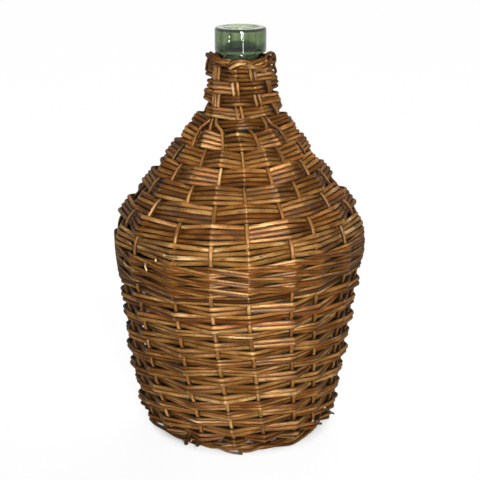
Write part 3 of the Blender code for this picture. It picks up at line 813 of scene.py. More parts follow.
class Row:
    """One row of the weave: its place, its rods and where it passes each stake."""

    def __init__(self, weave, label, number, name, crossings, s, pitch, rods, period):
        self.weave = weave
        self.label = label
        self.name = name
        self.crossings = crossings
        self.pitch = pitch
        self.waled = period == 3
        self.draw = random.Random(ROW_DRAW + number)
        fine = label == "side_row" and self.draw.random() < FINE_ROW_SHARE
        self.rods = rods + 1 if fine else rods
        self.phases = [(self.draw.uniform(1.0, 3.0), self.draw.uniform(0.0, 6.3),
                        self.draw.uniform(4.0, 8.0), self.draw.uniform(0.0, 6.3))
                       for _ in range(self.rods)]
        self.bend = weave.bend(s, 0.5 * pitch)
        narrow = min(weave.at(s - 0.5 * pitch)[0], weave.at(s + 0.5 * pitch)[0])
        self.squeeze = narrow / weave.at(s)[0]
        self.places = []
        self.stretches = []
        for stake, side in crossings:
            azimuth = weave.stake_azimuth(stake, s)
            shifted, stretch = weave.risen(azimuth, s)
            self.places.append((weave.stake_azimuth(stake, shifted), shifted, side))
            self.stretches.append(stretch)

    def shares(self, azimuth):
        """Heights of the rods at an azimuth, from the lowest to the highest; they fill the row."""
        weights = [1.0 + ROD_UNEVENNESS * (0.6 * math.sin(a * azimuth + b)
                                           + 0.4 * math.sin(c * azimuth + d))
                   for a, b, c, d in self.phases]
        total = sum(weights)
        return [self.pitch * weight / total for weight in weights]

    def knot_offset(self, n, radius, side, next_sides):
        """Offset at the n-th crossing, large enough for the steeper of the rod's two runs."""
        azimuth, s, _ = self.places[n]
        r = self.weave.at(s)[0]
        offset = self.weave.seat_distance(radius, side)
        for other, other_side in next_sides:
            if other_side != side:
                spacing = abs(self.places[other][0] - azimuth) * r
                steep = self.weave.passing_offset(radius, side, spacing * self.squeeze, r * self.squeeze)
                offset = max(offset, abs(steep))
        return side * offset

    def side_of(self, n, lane):
        """Side on which a rod passes the n-th crossing, and its level in a waled row."""
        if not self.waled:
            return self.places[n][2], 0.0
        pair, second = divmod(lane, 2)
        step = (self.crossings[n][0] - self.crossings[0][0] - pair) % 3
        return WALE_SIDES[step], WALE_LEVELS[step] + (WALE_PAIR if second else -WALE_PAIR)

    def lane_place(self, lane, azimuth, level):
        """Height of a rod's middle above the row's middle, and the rod's width."""
        if self.waled:
            return level * self.pitch, WALE_WIDTH * self.pitch
        shares = self.shares(azimuth)
        return sum(shares[:lane]) + 0.5 * shares[lane] - 0.5 * self.pitch, shares[lane]

    def lay_knots(self, lane, sides):
        """Points at which a rod bends, their places (azimuth, s) and the rod's radii there."""
        weave = self.weave
        knots = []
        spots = []
        sizes = []
        for n, (azimuth, shifted, _) in enumerate(self.places):
            side, level = sides[n]
            middle, width = self.lane_place(lane, azimuth, level)
            near = [(other, sides[other][0]) for other in (n - 1, n + 1) if 0 <= other < len(sides)]
            offset = self.knot_offset(n, 0.5 * width, side, near)
            if not self.waled:
                offset -= side * STAKE_PUSH
            room = min(1.0, 1.0 + BEND_ROOM * self.bend * offset)
            spread = FRONT_SPREAD if side > 0 else 1.0
            height = middle * self.stretches[n] * room * spread + self.draw.uniform(-1.0, 1.0) * HEIGHT_PLAY
            if self.label != "base_row":
                height += offset * LEVELLING * math.tan(weave.lean(shifted) + LEVELLING_TILT)
            if side > 0:
                offset += self.draw.uniform(0.0, FRONT_PLAY)
            place = shifted + height
            spot = weave.stake_azimuth(self.crossings[n][0], place)
            knots.append(weave.point(spot, place, offset))
            spots.append((spot, place))
            sizes.append(self.stretches[n] * room * width * 0.5)
        for end, inner in ((0, 1), (-1, -2)):
            tail = knots[end] - knots[inner]
            knots[end] = knots[inner] + tail.normalized() * self.draw.uniform(SHORTEST_END, LONGEST_END)
        return knots, spots, sizes

    def make_rod(self, lane):
        """One rod of the row, from end to end."""
        draw = self.draw
        count = len(self.places)
        sides = [self.side_of(n, lane) for n in range(count)]
        knots, spots, sizes = self.lay_knots(lane, sides)
        points, nearness = rod_curve(knots, KINK_ROUNDNESS, ROD_PLACES)
        swellings = [draw.uniform(0, count) for _ in range(count // 4)]
        # Pale marks at the kinks in front of a stake, where the bend catches the light: partly worn, partly
        # a painted glint.
        scuffs_and_glints = [draw.random() ** 2 if side > 0 else 0.0 for side, _ in sides]
        wear_glint_share = BELT_WEAR_GLINT if self.label == "belt_row" else 1.0
        radii = []
        wear_and_glint = []
        outs = []
        for n, t in nearness:
            after = min(n + 1, count - 1)
            radius = sizes[n] * (1.0 - t) + sizes[after] * t
            for place in swellings:
                radius *= 1.0 + KNOT_SWELL * math.exp(-((n + t - place) / KNOT_REACH) ** 2)
            radii.append(radius)
            near = max(0.0, 1.0 - t / WORN_GLINT_SHARE) * scuffs_and_glints[n]
            near = max(near, (1.0 - (1.0 - t) / WORN_GLINT_SHARE) * scuffs_and_glints[after])
            wear_and_glint.append(near * wear_glint_share)
            outs.append(self.weave.outward(spots[n][0] * (1.0 - t) + spots[after][0] * t,
                                           spots[n][1] * (1.0 - t) + spots[after][1] * t))
        tone = draw.random()
        # The neck bands' rods are coloured darker: painted shade on the neck.
        if self.label == "neck_band":
            tone -= NECK_PAINTED_SHADE
        if (self.name, lane) in DARK_RODS:
            tone = DARK_TONE
        return rod(points, radii, outs, tone, wear_and_glint)

    def make_rods(self):
        """All rods of the row, and the loose ones that belong to it."""
        rods = [self.make_rod(lane) for lane in range(WALE_RODS if self.waled else self.rods)]
        return rods + loose_rods(self.name)


def row_plan(weave):
    """All woven rows, from the hub to the rim."""
    rod_radius = weave.wicker.rod_radius
    parts = (
        ("base_row", 3, 2, "hub", "base_end", rod_radius),
        ("side_row", 2, 2, "side_start", "belt_start", rod_radius),
        ("belt_row", 2, 3, "belt_start", "belt_end", rod_radius),
        ("shoulder_band", 4, 2, "belt_end", "shoulder_end", rod_radius),
        ("neck_band", 3, 2, "neck_start", "rim_start", weave.wicker.neck_rod_radius),
    )
    plan = []
    for label, rods, period, low, high, radius in parts:
        low = weave.marks[low]
        high = weave.marks[high]
        count = max(1, round((high - low) / (rods * (2.0 * radius + ROD_SPACING))))
        if label == "neck_band":
            low = weave.marks["shoulder_end"] + NECK_BAND_FOOT
            high -= NECK_BAND_HEAD
        pitch = (high - low) / count
        for n in range(count):
            number = len(plan) + 1
            if label == "neck_band":
                crossings = bundles(weave, BUNDLE_COUNT // 2 + number % 2)
            else:
                crossings = singles(STAKE_COUNT // 2 + (n if period == 3 else number % 2), period)
            plan.append(Row(weave, label, number, f"{label}_{n + 1:02d}", crossings,
                            low + pitch * (n + 0.5), pitch, rods, period))
    return plan


def stake_pushes(plan, stake):
    """Where the rows pass a stake and how far they push it: in from the front, out from behind."""
    pushes = [(0.0, 0.0)]
    for row in plan:
        for (number, _), (azimuth, s, side) in zip(row.crossings, row.places):
            if number % STAKE_COUNT == stake:
                pushes.append((s, 0.0 if row.waled else -side * STAKE_PUSH))
                break
    return pushes


# Materials

class NodeTree:
    """Short names for making the nodes of a material or of the world."""

    def __init__(self, owner, shader="Principled BSDF"):
        owner.use_nodes = True
        self.owner = owner
        self.tree = owner.node_tree
        self.shader = self.tree.nodes[shader]

    def link(self, start, end):
        """Link an output to an input."""
        self.tree.links.new(start, end)

    def feed(self, node, inputs):
        """Give a node's inputs what they take: an output, a number, or a vector or colour."""
        for key, value in inputs.items():
            socket = node.inputs[key]
            if isinstance(value, bpy.types.NodeSocket):
                self.link(value, socket)
            elif isinstance(value, tuple):
                socket.default_value = (*value, 1.0)[:len(socket.default_value)]
            else:
                socket.default_value = value

    def add(self, kind, inputs=None, **values):
        """New node with its choices made and its inputs fed."""
        node = self.tree.nodes.new(kind)
        for key, value in values.items():
            setattr(node, key, value)
        self.feed(node, inputs or {})
        return node

    def attribute(self, name, output="Fac"):
        """Attribute that the mesh carries."""
        return self.add('ShaderNodeAttribute', attribute_name=name).outputs[output]

    def noise(self, vector, scale, detail, roughness):
        """Noise, stretched by the scale."""
        scaled = self.add('ShaderNodeMapping', {"Vector": vector, "Scale": scale}).outputs["Vector"]
        return self.add('ShaderNodeTexNoise', {"Vector": scaled, "Scale": 1.0, "Detail": detail,
                                               "Roughness": roughness}).outputs["Fac"]

    def math(self, operation, *values, clamp=False):
        """Result of a calculation with one or two values."""
        node = self.add('ShaderNodeMath', dict(enumerate(values)), operation=operation, use_clamp=clamp)
        return node.outputs["Value"]

    def product(self, a, b):
        """Product of two values."""
        return self.math('MULTIPLY', a, b)

    def range(self, value, low, high, to_low=0.0, to_high=1.0):
        """Value moved from one range to another, and kept within it."""
        return self.add('ShaderNodeMapRange', {"Value": value, "From Min": low, "From Max": high,
                                               "To Min": to_low, "To Max": to_high}).outputs["Result"]

    def ramp(self, value, stops):
        """Colour of a value, between stops given as (place, colour)."""
        node = self.add('ShaderNodeValToRGB', {"Fac": value})
        elements = node.color_ramp.elements
        while len(elements) < len(stops):
            elements.new(1.0)
        for element, (place, color) in zip(elements, stops):
            element.position = place
            element.color = (*color, 1.0)
        return node.outputs["Color"]

    def mix(self, factor, a, b, blend='MIX'):
        """Blend of two colours."""
        node = self.add('ShaderNodeMix', data_type='RGBA', blend_type=blend)
        open_inputs = [n for n, socket in enumerate(node.inputs) if socket.enabled]
        self.feed(node, dict(zip(open_inputs, (factor, a, b))))
        return next(socket for socket in node.outputs if socket.enabled)

    def bump(self, height, strength, distance):
        """Normal of a surface with fine relief."""
        return self.add('ShaderNodeBump', {"Height": height, "Strength": strength,
                                           "Distance": distance}).outputs["Normal"]


def willow_material(slot_name):
    """Varnished willow bark: fibres along the rod, patches, specks, pale kinks that are partly worn and
    partly a painted glint, painted shade in the grooves between rods, and pale cut ends.
    """
    name = slot_name + "_bark"
    if name in bpy.data.materials:
        return bpy.data.materials[name]
    wicker = bpy.context.scene.demijohn_wicker
    dark = tuple(wicker.dark)
    pale = tuple(wicker.pale)
    nodes = NodeTree(bpy.data.materials.new(name))
    grain = nodes.attribute("grain", "Vector")
    tone = nodes.attribute("tone")
    wear_and_glint = nodes.attribute("wear_and_glint")
    cut = nodes.attribute("cut")
    facing = nodes.attribute("facing")
    fibres = nodes.noise(grain, *FIBRES)
    stains = nodes.noise(grain, *STAINS)

    level = nodes.product(tone, TONE_SHARE)
    patches = nodes.range(nodes.noise(grain, *PATCHES), *PATCH_SPAN)
    level = nodes.math('ADD', level, nodes.product(patches, PATCH_SHARE))
    level = nodes.math('ADD', level, nodes.product(nodes.range(fibres, *FIBRE_SPAN), FIBRE_SHARE))
    level = nodes.math('ADD', level, WILLOW_LIGHTNESS[slot_name], clamp=True)
    color = nodes.ramp(level, ((0.0, dark), (BROWN_PLACE, tuple(wicker.brown)),
                               (TAN_PLACE, tuple(wicker.tan)), (1.0, tuple(wicker.light))))
    hue = nodes.math('FRACT', nodes.product(tone, HUES))
    color = nodes.mix(1.0, color, nodes.ramp(hue, WARMTH), 'MULTIPLY')
    color = nodes.mix(nodes.range(stains, *STAIN_SPAN), color, dark)
    color = nodes.mix(nodes.range(nodes.noise(grain, *SPECKS), *SPECK_SPAN), color, dark)
    # Pale marks at the front kinks: partly worn, partly a painted glint.
    scuff_and_glint = nodes.product(wear_and_glint, nodes.range(fibres, *SCUFF_GLINT_SPAN))
    color = nodes.mix(scuff_and_glint, color, pale)
    color = nodes.mix(nodes.product(cut, CUT_SHARE), color, pale)
    # Painted shade: where the rods' surface faces into the grooves between rods, the colour goes towards a
    # darker copy of the dark bark, except on the cut ends.
    painted_groove_shade = nodes.product(nodes.range(facing, *GROOVE_SHADE_SPAN), nodes.math('SUBTRACT', GROOVE_SHADE_SHARE, cut))
    color = nodes.mix(painted_groove_shade, color, tuple(GROOVE_SHADE_DARKNESS * value for value in dark))

    rough = nodes.math('ADD', nodes.range(fibres, *ROUGH_SPAN), nodes.range(facing, *FLANK_SPAN))
    grazing = nodes.range(nodes.add('ShaderNodeLayerWeight').outputs["Facing"], *GRAZING_SPAN)
    rough = nodes.math('ADD', rough, grazing, clamp=True)
    across = nodes.add('ShaderNodeTangent', direction_type='UV_MAP', uv_map="OFBake").outputs["Tangent"]
    relief = nodes.math('ADD', fibres, nodes.product(stains, STAIN_RELIEF))
    nodes.feed(nodes.shader, VARNISH)
    nodes.feed(nodes.shader, {"Base Color": color, "Roughness": rough, "Tangent": across,
                              "Normal": nodes.bump(relief, *BARK_RELIEF)})
    return nodes.owner


def glass_material():
    """Green bottle glass: painted shade darkens it below the collar, inside the jacket; darker towards its
    edges, with painted reflection streaks, a little uneven.
    """
    bottle = bpy.context.scene.demijohn_bottle
    nodes = NodeTree(bpy.data.materials.new("green_bottle_glass"))

    def from_place(value, place, span):
        """Range of a value, with its low and high end counted from a place."""
        return nodes.range(value, place + span[0], place + span[1])

    coordinates = nodes.add('ShaderNodeTexCoord').outputs["Object"]
    parts = nodes.add('ShaderNodeSeparateXYZ', {"Vector": coordinates}).outputs
    up = parts["Z"]
    out = nodes.math('SQRT', nodes.math('ADD', nodes.math('POWER', parts["X"], 2.0),
                                        nodes.math('POWER', parts["Y"], 2.0)))
    side = bottle.collar_radius
    edge = bottle.height - bottle.collar_height - COLLAR_SKIRT
    # Painted reflection: vertical streaks of darker green stand in for the bands that the collar reflects.
    painted_reflection_streaks = nodes.range(nodes.noise(coordinates, *REFLECTION_STREAKS), *REFLECTION_STREAK_SPAN)
    # Painted shade: the glass below the collar, inside the jacket, is coloured dark and made less clear.
    below = from_place(up, edge, SHADE_BELOW_SPAN)
    foot = nodes.product(from_place(out, side, FOOT_SIDE_SPAN), from_place(up, edge, FOOT_TOP_SPAN))
    foot = nodes.product(foot, from_place(up, edge, FOOT_LOW_SPAN))
    outside = nodes.product(below, from_place(up, edge, OUTSIDE_SPAN))
    high = from_place(up, bottle.height, TOP_SPAN)
    rim_line = nodes.product(high, from_place(out, side, LINE_SPAN))
    color = CLEAR_GLASS
    for place, shade in ((painted_reflection_streaks, REFLECTION_STREAK_GLASS), (below, GLASS_SHADE_BELOW), (foot, GLASS_FOOT),
                         (high, GLASS_TOP), (rim_line, GLASS_LINE)):
        color = nodes.mix(place, color, shade)
    clear = 1.0
    for place, name in ((foot, "foot"), (outside, "outside"), (high, "top")):
        clear = nodes.math('SUBTRACT', clear, nodes.product(place, LESS_CLEAR[name]))
    seeds = nodes.product(nodes.range(nodes.noise(coordinates, *SEEDS), *SEED_SPAN), SEED_RELIEF)
    relief = nodes.math('ADD', nodes.noise(coordinates, *WAVES), seeds)
    nodes.feed(nodes.shader, {"Base Color": color, "Roughness": GLASS_ROUGHNESS, "IOR": GLASS_BENDING,
                              "Transmission Weight": clear, "Normal": nodes.bump(relief, *GLASS_RELIEF)})
    depth = nodes.add('ShaderNodeVolumeAbsorption', {"Color": tuple(bottle.tint), "Density": bottle.depth})
    nodes.link(depth.outputs["Volume"], nodes.tree.nodes["Material Output"].inputs["Volume"])
    return nodes.owner


# Pieces

def current_weave():
    """Weave that follows from the settings."""
    scene = bpy.context.scene
    return Weave(scene.demijohn_bottle, scene.demijohn_wicker)


def bottle_outline(weave):
    """Outline (r, z) of the hollow bottle: up the inside, over the lip and down the outside."""
    bottle = weave.bottle
    outer = weave.wall(OUTLINE_STEPS)
    inner = [(r - nr * bottle.wall, z - nz * bottle.wall)
             for (r, z), (nr, nz) in zip(outer, normals(outer))]
    crown = weave.bottom + bottle.punt_height
    crown_radius = CROWN_SHARE * bottle.punt_radius
    outline = [(AXIS_RADIUS, crown + bottle.wall), (crown_radius, crown + bottle.wall)]
    outline += inner[1:-1]
    outline.append((bottle.bore_radius, weave.neck_top()))
    top = bottle.height + LIP_RISE
    outline += arc((bottle.bore_radius + LIP_ROUNDING, top - LIP_ROUNDING), LIP_ROUNDING,
                   math.pi, 0.5 * math.pi, LIP_STEPS)
    collar = bottle.collar_radius
    outline += arc((collar - COLLAR_EDGE, top - COLLAR_EDGE), COLLAR_EDGE,
                   0.5 * math.pi, 0.0, EDGE_STEPS)
    under = weave.neck_top() - COLLAR_SKIRT
    outline += arc((collar - SKIRT_ROUNDING, under + SKIRT_ROUNDING), SKIRT_ROUNDING,
                   0.0, -0.5 * math.pi, LIP_STEPS)
    outline.append((outer[-1][0], under))
    outline += outer[-2::-1]
    return outline + [(crown_radius, crown), (AXIS_RADIUS, crown)]


def make_bottle():
    """Bottle turned round the Z axis: one ring after another is extruded and scaled."""
    weave = current_weave()
    outline = bottle_outline(weave)
    deselect()
    bpy.ops.mesh.primitive_circle_add(vertices=weave.bottle.segments, radius=outline[0][0],
                                      fill_type='NGON', location=(0.0, 0.0, outline[0][1]))
    piece = bpy.context.object
    piece.name = "bottle"
    bpy.ops.object.transform_apply(location=True, rotation=True, scale=True)
    bpy.ops.object.mode_set(mode='EDIT')
    bpy.ops.mesh.select_all(action='SELECT')
    for (r, z), (next_r, next_z) in zip(outline, outline[1:]):
        bpy.ops.mesh.extrude_region_move(TRANSFORM_OT_translate={"value": (0.0, 0.0, next_z - z)})
        bpy.ops.transform.resize(value=(next_r / r, next_r / r, 1.0), center_override=(0.0, 0.0, next_z))
    bpy.ops.mesh.select_all(action='SELECT')
    bpy.ops.mesh.normals_make_consistent(inside=False)
    bpy.ops.object.mode_set(mode='OBJECT')
    bpy.ops.object.shade_smooth_by_angle(angle=GLASS_SMOOTHING)
    dress(piece, "green_glass", "glass_bottle")


def make_rows(label, slot_name):
    """Every row of one part of the weave, each with its own rods."""
    for row in row_plan(current_weave()):
        if row.label == label:
            dress(rods_mesh("woven_" + row.name, row.make_rods()), slot_name, row.name)


def make_stakes():
    """The upright stakes, from the hub to the rim, a little thinner towards the top."""
    weave = current_weave()
    marks = weave.marks
    plan = row_plan(weave)
    for stake in range(STAKE_COUNT):
        draw = random.Random(STAKE_DRAW + stake)
        pushes = stake_pushes(plan, stake)
        points = []
        radii = []
        outs = []
        for n in range(STAKE_STEPS + 1):
            s = SEAT_GAP + (marks["rim_start"] - SEAT_GAP) * n / STAKE_STEPS
            sag = max(-1.0, min(1.0, weave.bend(s, STAKE_SAG_REACH) * STAKE_SAG_RATE))
            azimuth = weave.stake_azimuth(stake, s)
            offset = 0.5 * STAKE_SAG * sag + from_stop_to_stop(pushes, s)
            points.append(weave.point(azimuth, s, offset))
            outs.append(weave.outward(azimuth, s))
            knob = 1.0 + STAKE_KNOB * math.sin(s * STAKE_KNOB_RATE + stake)
            taper = 1.0 - STAKE_TAPER * smoothstep(marks["belt_start"], marks["neck_start"], s)
            radii.append(weave.wicker.stake_radius * taper * knob)
        rods = [rod(points, radii, outs, draw.random(), [STAKE_WEAR] * len(points))]
        dress(rods_mesh(f"willow_stake_{stake + 1:02d}", rods), "pale_willow", f"stake_{stake + 1:02d}")


def ring_rods(draw, radius, height, lay_radius, strand_radius, strands, twists, steps, uneven):
    """Rods twisted round each other along a ring."""
    rods = []
    for strand in range(strands):
        points = []
        radii = []
        outs = []
        tone = draw.random()
        for n in range(steps + 1):
            azimuth = math.pi + TURN * n / steps
            twist = twists * azimuth + TURN * strand / strands
            twist += TWIST_PLAY * math.sin(3.0 * azimuth + strand)
            lay = lay_radius * (1.0 + uneven * math.sin(5.0 * azimuth + 2.0 * strand))
            points.append(round_axis(azimuth, radius + lay * math.cos(twist),
                                     height + lay * math.sin(twist)))
            radii.append(strand_radius * (1.0 + STRAND_PLAY * math.sin(11.0 * azimuth + strand)))
            outs.append(round_axis(azimuth, 1.0, 0.0))
        rods.append(rod(points, radii, outs, tone))
    return rods


def loose_rod(places, radius, tone, taper=1.0):
    """A rod laid over the others through listed places in degrees and millimetres."""
    knots = [round_axis(math.radians(azimuth), out, up) * 0.001 for azimuth, out, up in places]
    points, _ = rod_curve(knots, 1.0, LOOSE_PLACES)
    last = len(points) - 1
    radii = [radius * (1.0 + (taper - 1.0) * n / last) for n in range(last + 1)]
    outs = [Vector((point.x, point.y, 0.0)).normalized() for point in points]
    return rod(points, radii, outs, tone)


def loose_rods(name):
    """Loose rods that belong to a row or border, if it has any."""
    return [loose_rod(*values) for values in LOOSE_RODS.get(name, ())]


def make_rim():
    """The border under the collar: rods twisted round each other, with a bundle of ends and a loop."""
    weave = current_weave()
    r, z = weave.at(weave.marks["rim_start"])
    rods = ring_rods(random.Random(RIM_DRAW), radius=r + RIM_OUT,
                     height=z + 0.5 * RIM_HEIGHT - RIM_SINK, lay_radius=0.0025, strand_radius=0.0016,
                     strands=4, twists=3.0, steps=260, uneven=0.14)
    dress(rods_mesh("rim_border", rods + loose_rods("rim")), "dark_willow", "rim_strand_1", "rim_strand_2")


def make_foot():
    """The border under the jacket: thin rods twisted round each other, resting on the ground."""
    weave = current_weave()
    rod_radius = weave.wicker.rod_radius
    draw = random.Random(FOOT_DRAW)
    radius = weave.heel_center()[0] + weave.foot_ring_reach() * math.sin(FOOT_RING_ANGLE)
    height = weave.wicker.foot_rod_radius - FOOT_FLAT_DEPTH
    rods = ring_rods(draw, radius=radius, height=height + FOOT_LIFT, lay_radius=height - FOOT_STRAND,
                     strand_radius=FOOT_STRAND, strands=4, twists=7.0, steps=420, uneven=0.0)
    rods += loose_rods("foot")
    low = weave.marks["base_end"]
    for share in HEEL_RODS:
        s = low + share * (weave.marks["side_start"] - low)
        points = [weave.point(math.pi + TURN * n / HEEL_STEPS, s, -weave.seat_distance(rod_radius, -1))
                  for n in range(HEEL_STEPS + 1)]
        outs = [Vector((point.x, point.y, -0.05)).normalized() for point in points]
        rods.append(rod(points, [rod_radius] * len(points), outs, draw.random()))
    dress(rods_mesh("foot_border_rods", rods), "dark_willow", "foot_border")


def make_hub():
    """The crossing of the base sticks, one layer under the other."""
    draw = random.Random(HUB_DRAW)
    low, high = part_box("base_hub")
    middle = 0.5 * (low.z + high.z)
    stick = 0.25 * (high.z - low.z) - 0.0001
    rods = []
    for layer, turn in ((-1, 0.0), (1, 0.5 * math.pi)):
        for n in range(HUB_STICKS):
            side = (n - 0.5 * (HUB_STICKS - 1)) * HUB_SPACING * stick
            reach = math.sqrt((HUB_RADIUS - SEAT_GAP) ** 2 - side * side) - HUB_MARGIN
            points = []
            for share in STICK_PLACES:
                x = reach * share
                points.append(Vector((x * math.cos(turn) - side * math.sin(turn),
                                      x * math.sin(turn) + side * math.cos(turn), middle + layer * stick)))
            outs = [Vector((0.0, 0.0, -1.0))] * len(points)
            rods.append(rod(points, [stick * HUB_THICKNESS] * len(points), outs, draw.random()))
    dress(rods_mesh("base_cross", rods), "dark_willow", "base_hub")


# Operators

class DEMIJOHN_OT_bottle(bpy.types.Operator):
    """Add the green glass bottle"""
    bl_idname = "demijohn.bottle"
    bl_label = "Glass Bottle"
    bl_options = {'REGISTER', 'UNDO'}

    def execute(self, context):
        make_bottle()
        return {'FINISHED'}


class DEMIJOHN_OT_stakes(bpy.types.Operator):
    """Add the upright stakes"""
    bl_idname = "demijohn.stakes"
    bl_label = "Stakes"
    bl_options = {'REGISTER', 'UNDO'}

    def execute(self, context):
        make_stakes()
        return {'FINISHED'}


class DEMIJOHN_OT_base_rows(bpy.types.Operator):
    """Add the rows woven under the bottle"""
    bl_idname = "demijohn.base_rows"
    bl_label = "Base Rows"
    bl_options = {'REGISTER', 'UNDO'}

    def execute(self, context):
        make_rows("base_row", "dark_willow")
        return {'FINISHED'}


class DEMIJOHN_OT_side_rows(bpy.types.Operator):
    """Add the rows woven round the side"""
    bl_idname = "demijohn.side_rows"
    bl_label = "Side Rows"
    bl_options = {'REGISTER', 'UNDO'}

    def execute(self, context):
        make_rows("side_row", "brown_willow")
        return {'FINISHED'}


class DEMIJOHN_OT_belt_rows(bpy.types.Operator):
    """Add the slanting rows of the belt"""
    bl_idname = "demijohn.belt_rows"
    bl_label = "Belt Rows"
    bl_options = {'REGISTER', 'UNDO'}

    def execute(self, context):
        make_rows("belt_row", "dark_willow")
        return {'FINISHED'}


class DEMIJOHN_OT_shoulder_bands(bpy.types.Operator):
    """Add the broad bands woven round the shoulder"""
    bl_idname = "demijohn.shoulder_bands"
    bl_label = "Shoulder Bands"
    bl_options = {'REGISTER', 'UNDO'}

    def execute(self, context):
        make_rows("shoulder_band", "brown_willow")
        return {'FINISHED'}


class DEMIJOHN_OT_neck_bands(bpy.types.Operator):
    """Add the bands woven round the neck"""
    bl_idname = "demijohn.neck_bands"
    bl_label = "Neck Bands"
    bl_options = {'REGISTER', 'UNDO'}

    def execute(self, context):
        make_rows("neck_band", "brown_willow")
        return {'FINISHED'}


class DEMIJOHN_OT_rim(bpy.types.Operator):
    """Add the twisted border under the collar"""
    bl_idname = "demijohn.rim"
    bl_label = "Rim Border"
    bl_options = {'REGISTER', 'UNDO'}

    def execute(self, context):
        make_rim()
        return {'FINISHED'}


class DEMIJOHN_OT_foot(bpy.types.Operator):
    """Add the foot border and the crossing of the base sticks"""
    bl_idname = "demijohn.foot"
    bl_label = "Foot"
    bl_options = {'REGISTER', 'UNDO'}

    def execute(self, context):
        make_foot()
        make_hub()
        return {'FINISHED'}


def add_lamp(name, place, target, width, height, power, spread, seen_in_gloss):
    """Soft lamp that shines from a place at a target."""
    data = bpy.data.lights.new(name, 'AREA')
    data.shape = 'RECTANGLE'
    data.size = width
    data.size_y = height
    data.energy = power
    data.spread = math.radians(spread)
    light = bpy.data.objects.new(name, data)
    light.location = place
    light.rotation_euler = (Vector(target) - Vector(place)).to_track_quat('-Z', 'Y').to_euler()
    light.visible_camera = False
    light.visible_transmission = False
    light.visible_glossy = seen_in_gloss
    bpy.context.scene.collection.objects.link(light)


def add_camera():
    """Camera in front of the bottle that looks down at it."""
    settings = bpy.context.scene.demijohn_stage
    data = bpy.data.cameras.new("camera")
    data.lens = settings.camera_lens
    data.sensor_width = SENSOR_WIDTH
    data.shift_x = -HALF_PIXEL
    camera = bpy.data.objects.new("camera", data)
    camera.location = (0.0, -settings.camera_distance, settings.camera_height)
    camera.rotation_euler = (0.5 * math.pi - settings.camera_pitch, 0.0, 0.0)
    bpy.context.scene.collection.objects.link(camera)
    bpy.context.scene.camera = camera


def plain_ray(nodes):
    """1 where the camera looks, straight or through glass or by a gloss, and 0 for light."""
    rays = nodes.add('ShaderNodeLightPath').outputs
    seen = nodes.math('MAXIMUM', rays["Is Camera Ray"], rays["Is Transmission Ray"])
    return nodes.math('MAXIMUM', seen, rays["Is Glossy Ray"])


def floor_material():
    """Pale floor, close to white where the camera sees it, that keeps the object's soft shadow."""
    base = tuple(bpy.context.scene.demijohn_stage.floor_color)
    nodes = NodeTree(bpy.data.materials.new("studio_floor"))
    coordinates = nodes.add('ShaderNodeTexCoord').outputs["Object"]
    pale = nodes.mix(nodes.noise(coordinates, *MOTTLE), base, tuple(FLOOR_SHADE * value for value in base))
    bounce = nodes.add('ShaderNodeLightPath').outputs["Is Diffuse Ray"]
    pale = nodes.mix(nodes.product(bounce, BOUNCE_SHARE), pale, FLOOR_BOUNCE)
    nodes.feed(nodes.shader, {"Base Color": pale, **FLOOR_FINISH})
    away = nodes.add('ShaderNodeVectorMath', {0: coordinates}, operation='LENGTH').outputs["Value"]
    share = nodes.product(nodes.range(away, *SHADOW_SPAN), nodes.range(away, *CONTACT_SPAN))
    glow = nodes.add('ShaderNodeEmission').outputs["Emission"]
    blend = nodes.add('ShaderNodeMixShader', {"Fac": nodes.product(plain_ray(nodes), share),
                                              1: nodes.shader.outputs["BSDF"], 2: glow})
    nodes.link(blend.outputs["Shader"], nodes.tree.nodes["Material Output"].inputs["Surface"])
    return nodes.owner


def white_world():
    """World that lights the object plainly and shows white to the camera, to glass and to gloss."""
    nodes = NodeTree(bpy.data.worlds.new("studio"), "Background")
    strength = nodes.range(plain_ray(nodes), 0.0, 1.0, WORLD_LIGHT, 1.0)
    nodes.feed(nodes.shader, {"Color": (1.0, 1.0, 1.0), "Strength": strength})
    bpy.context.scene.world = nodes.owner


class DEMIJOHN_OT_stage(bpy.types.Operator):
    """Add the floor, the lamps and the camera"""
    bl_idname = "demijohn.stage"
    bl_label = "Stage"
    bl_options = {'REGISTER', 'UNDO'}

    def execute(self, context):
        deselect()
        bpy.ops.mesh.primitive_plane_add(size=FLOOR_SIZE)
        floor = context.object
        floor.name = "floor"
        floor.data.materials.append(floor_material())
        for values in LAMPS:
            add_lamp(*values)
        white_world()
        add_camera()
        context.scene.view_settings.view_transform = 'Standard'
        return {'FINISHED'}


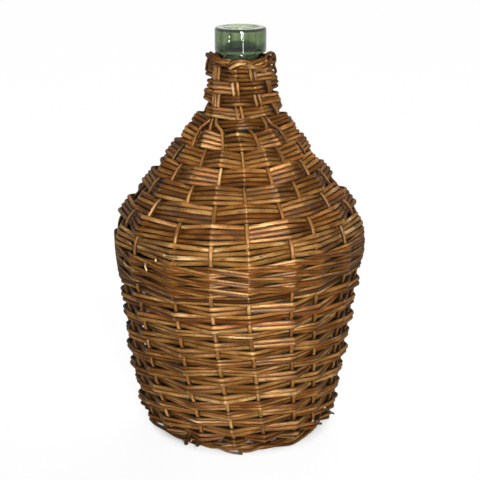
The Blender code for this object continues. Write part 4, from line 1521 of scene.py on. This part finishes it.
class DEMIJOHN_PT_panel(bpy.types.Panel):
    """Lists the pieces of the demijohn"""
    bl_label = "Wicker Demijohn"
    bl_idname = "DEMIJOHN_PT_panel"
    bl_space_type = 'VIEW_3D'
    bl_region_type = 'UI'
    bl_category = "Demijohn"

    def draw(self, context):
        layout = self.layout
        for operator in OPERATORS:
            layout.operator(operator.bl_idname)
        for group in (context.scene.demijohn_bottle, context.scene.demijohn_wicker,
                      context.scene.demijohn_stage):
            box = layout.box()
            for name in group.bl_rna.properties.keys():
                if name not in ("rna_type", "name"):
                    box.prop(group, name)


OPERATORS = (
    DEMIJOHN_OT_stage, DEMIJOHN_OT_bottle, DEMIJOHN_OT_stakes, DEMIJOHN_OT_base_rows,
    DEMIJOHN_OT_side_rows, DEMIJOHN_OT_belt_rows, DEMIJOHN_OT_shoulder_bands,
    DEMIJOHN_OT_neck_bands, DEMIJOHN_OT_rim, DEMIJOHN_OT_foot,
)
SETTINGS = (BottleSettings, WickerSettings, StageSettings)


def register():
    """Make the settings, the operators and the panel known."""
    for cls in SETTINGS + OPERATORS + (DEMIJOHN_PT_panel,):
        bpy.utils.register_class(cls)
    bpy.types.Scene.demijohn_bottle = bpy.props.PointerProperty(type=BottleSettings)
    bpy.types.Scene.demijohn_wicker = bpy.props.PointerProperty(type=WickerSettings)
    bpy.types.Scene.demijohn_stage = bpy.props.PointerProperty(type=StageSettings)


def unregister():
    """Undo what register did."""
    del bpy.types.Scene.demijohn_stage
    del bpy.types.Scene.demijohn_wicker
    del bpy.types.Scene.demijohn_bottle
    for cls in reversed(SETTINGS + OPERATORS + (DEMIJOHN_PT_panel,)):
        bpy.utils.unregister_class(cls)


def main():
    """Build the demijohn."""
    register()
    bpy.ops.demijohn.stage()
    bpy.ops.demijohn.bottle()
    bpy.ops.demijohn.stakes()
    bpy.ops.demijohn.base_rows()
    bpy.ops.demijohn.side_rows()
    bpy.ops.demijohn.belt_rows()
    bpy.ops.demijohn.shoulder_bands()
    bpy.ops.demijohn.neck_bands()
    bpy.ops.demijohn.rim()
    bpy.ops.demijohn.foot()


if __name__ == "__main__":
    main()
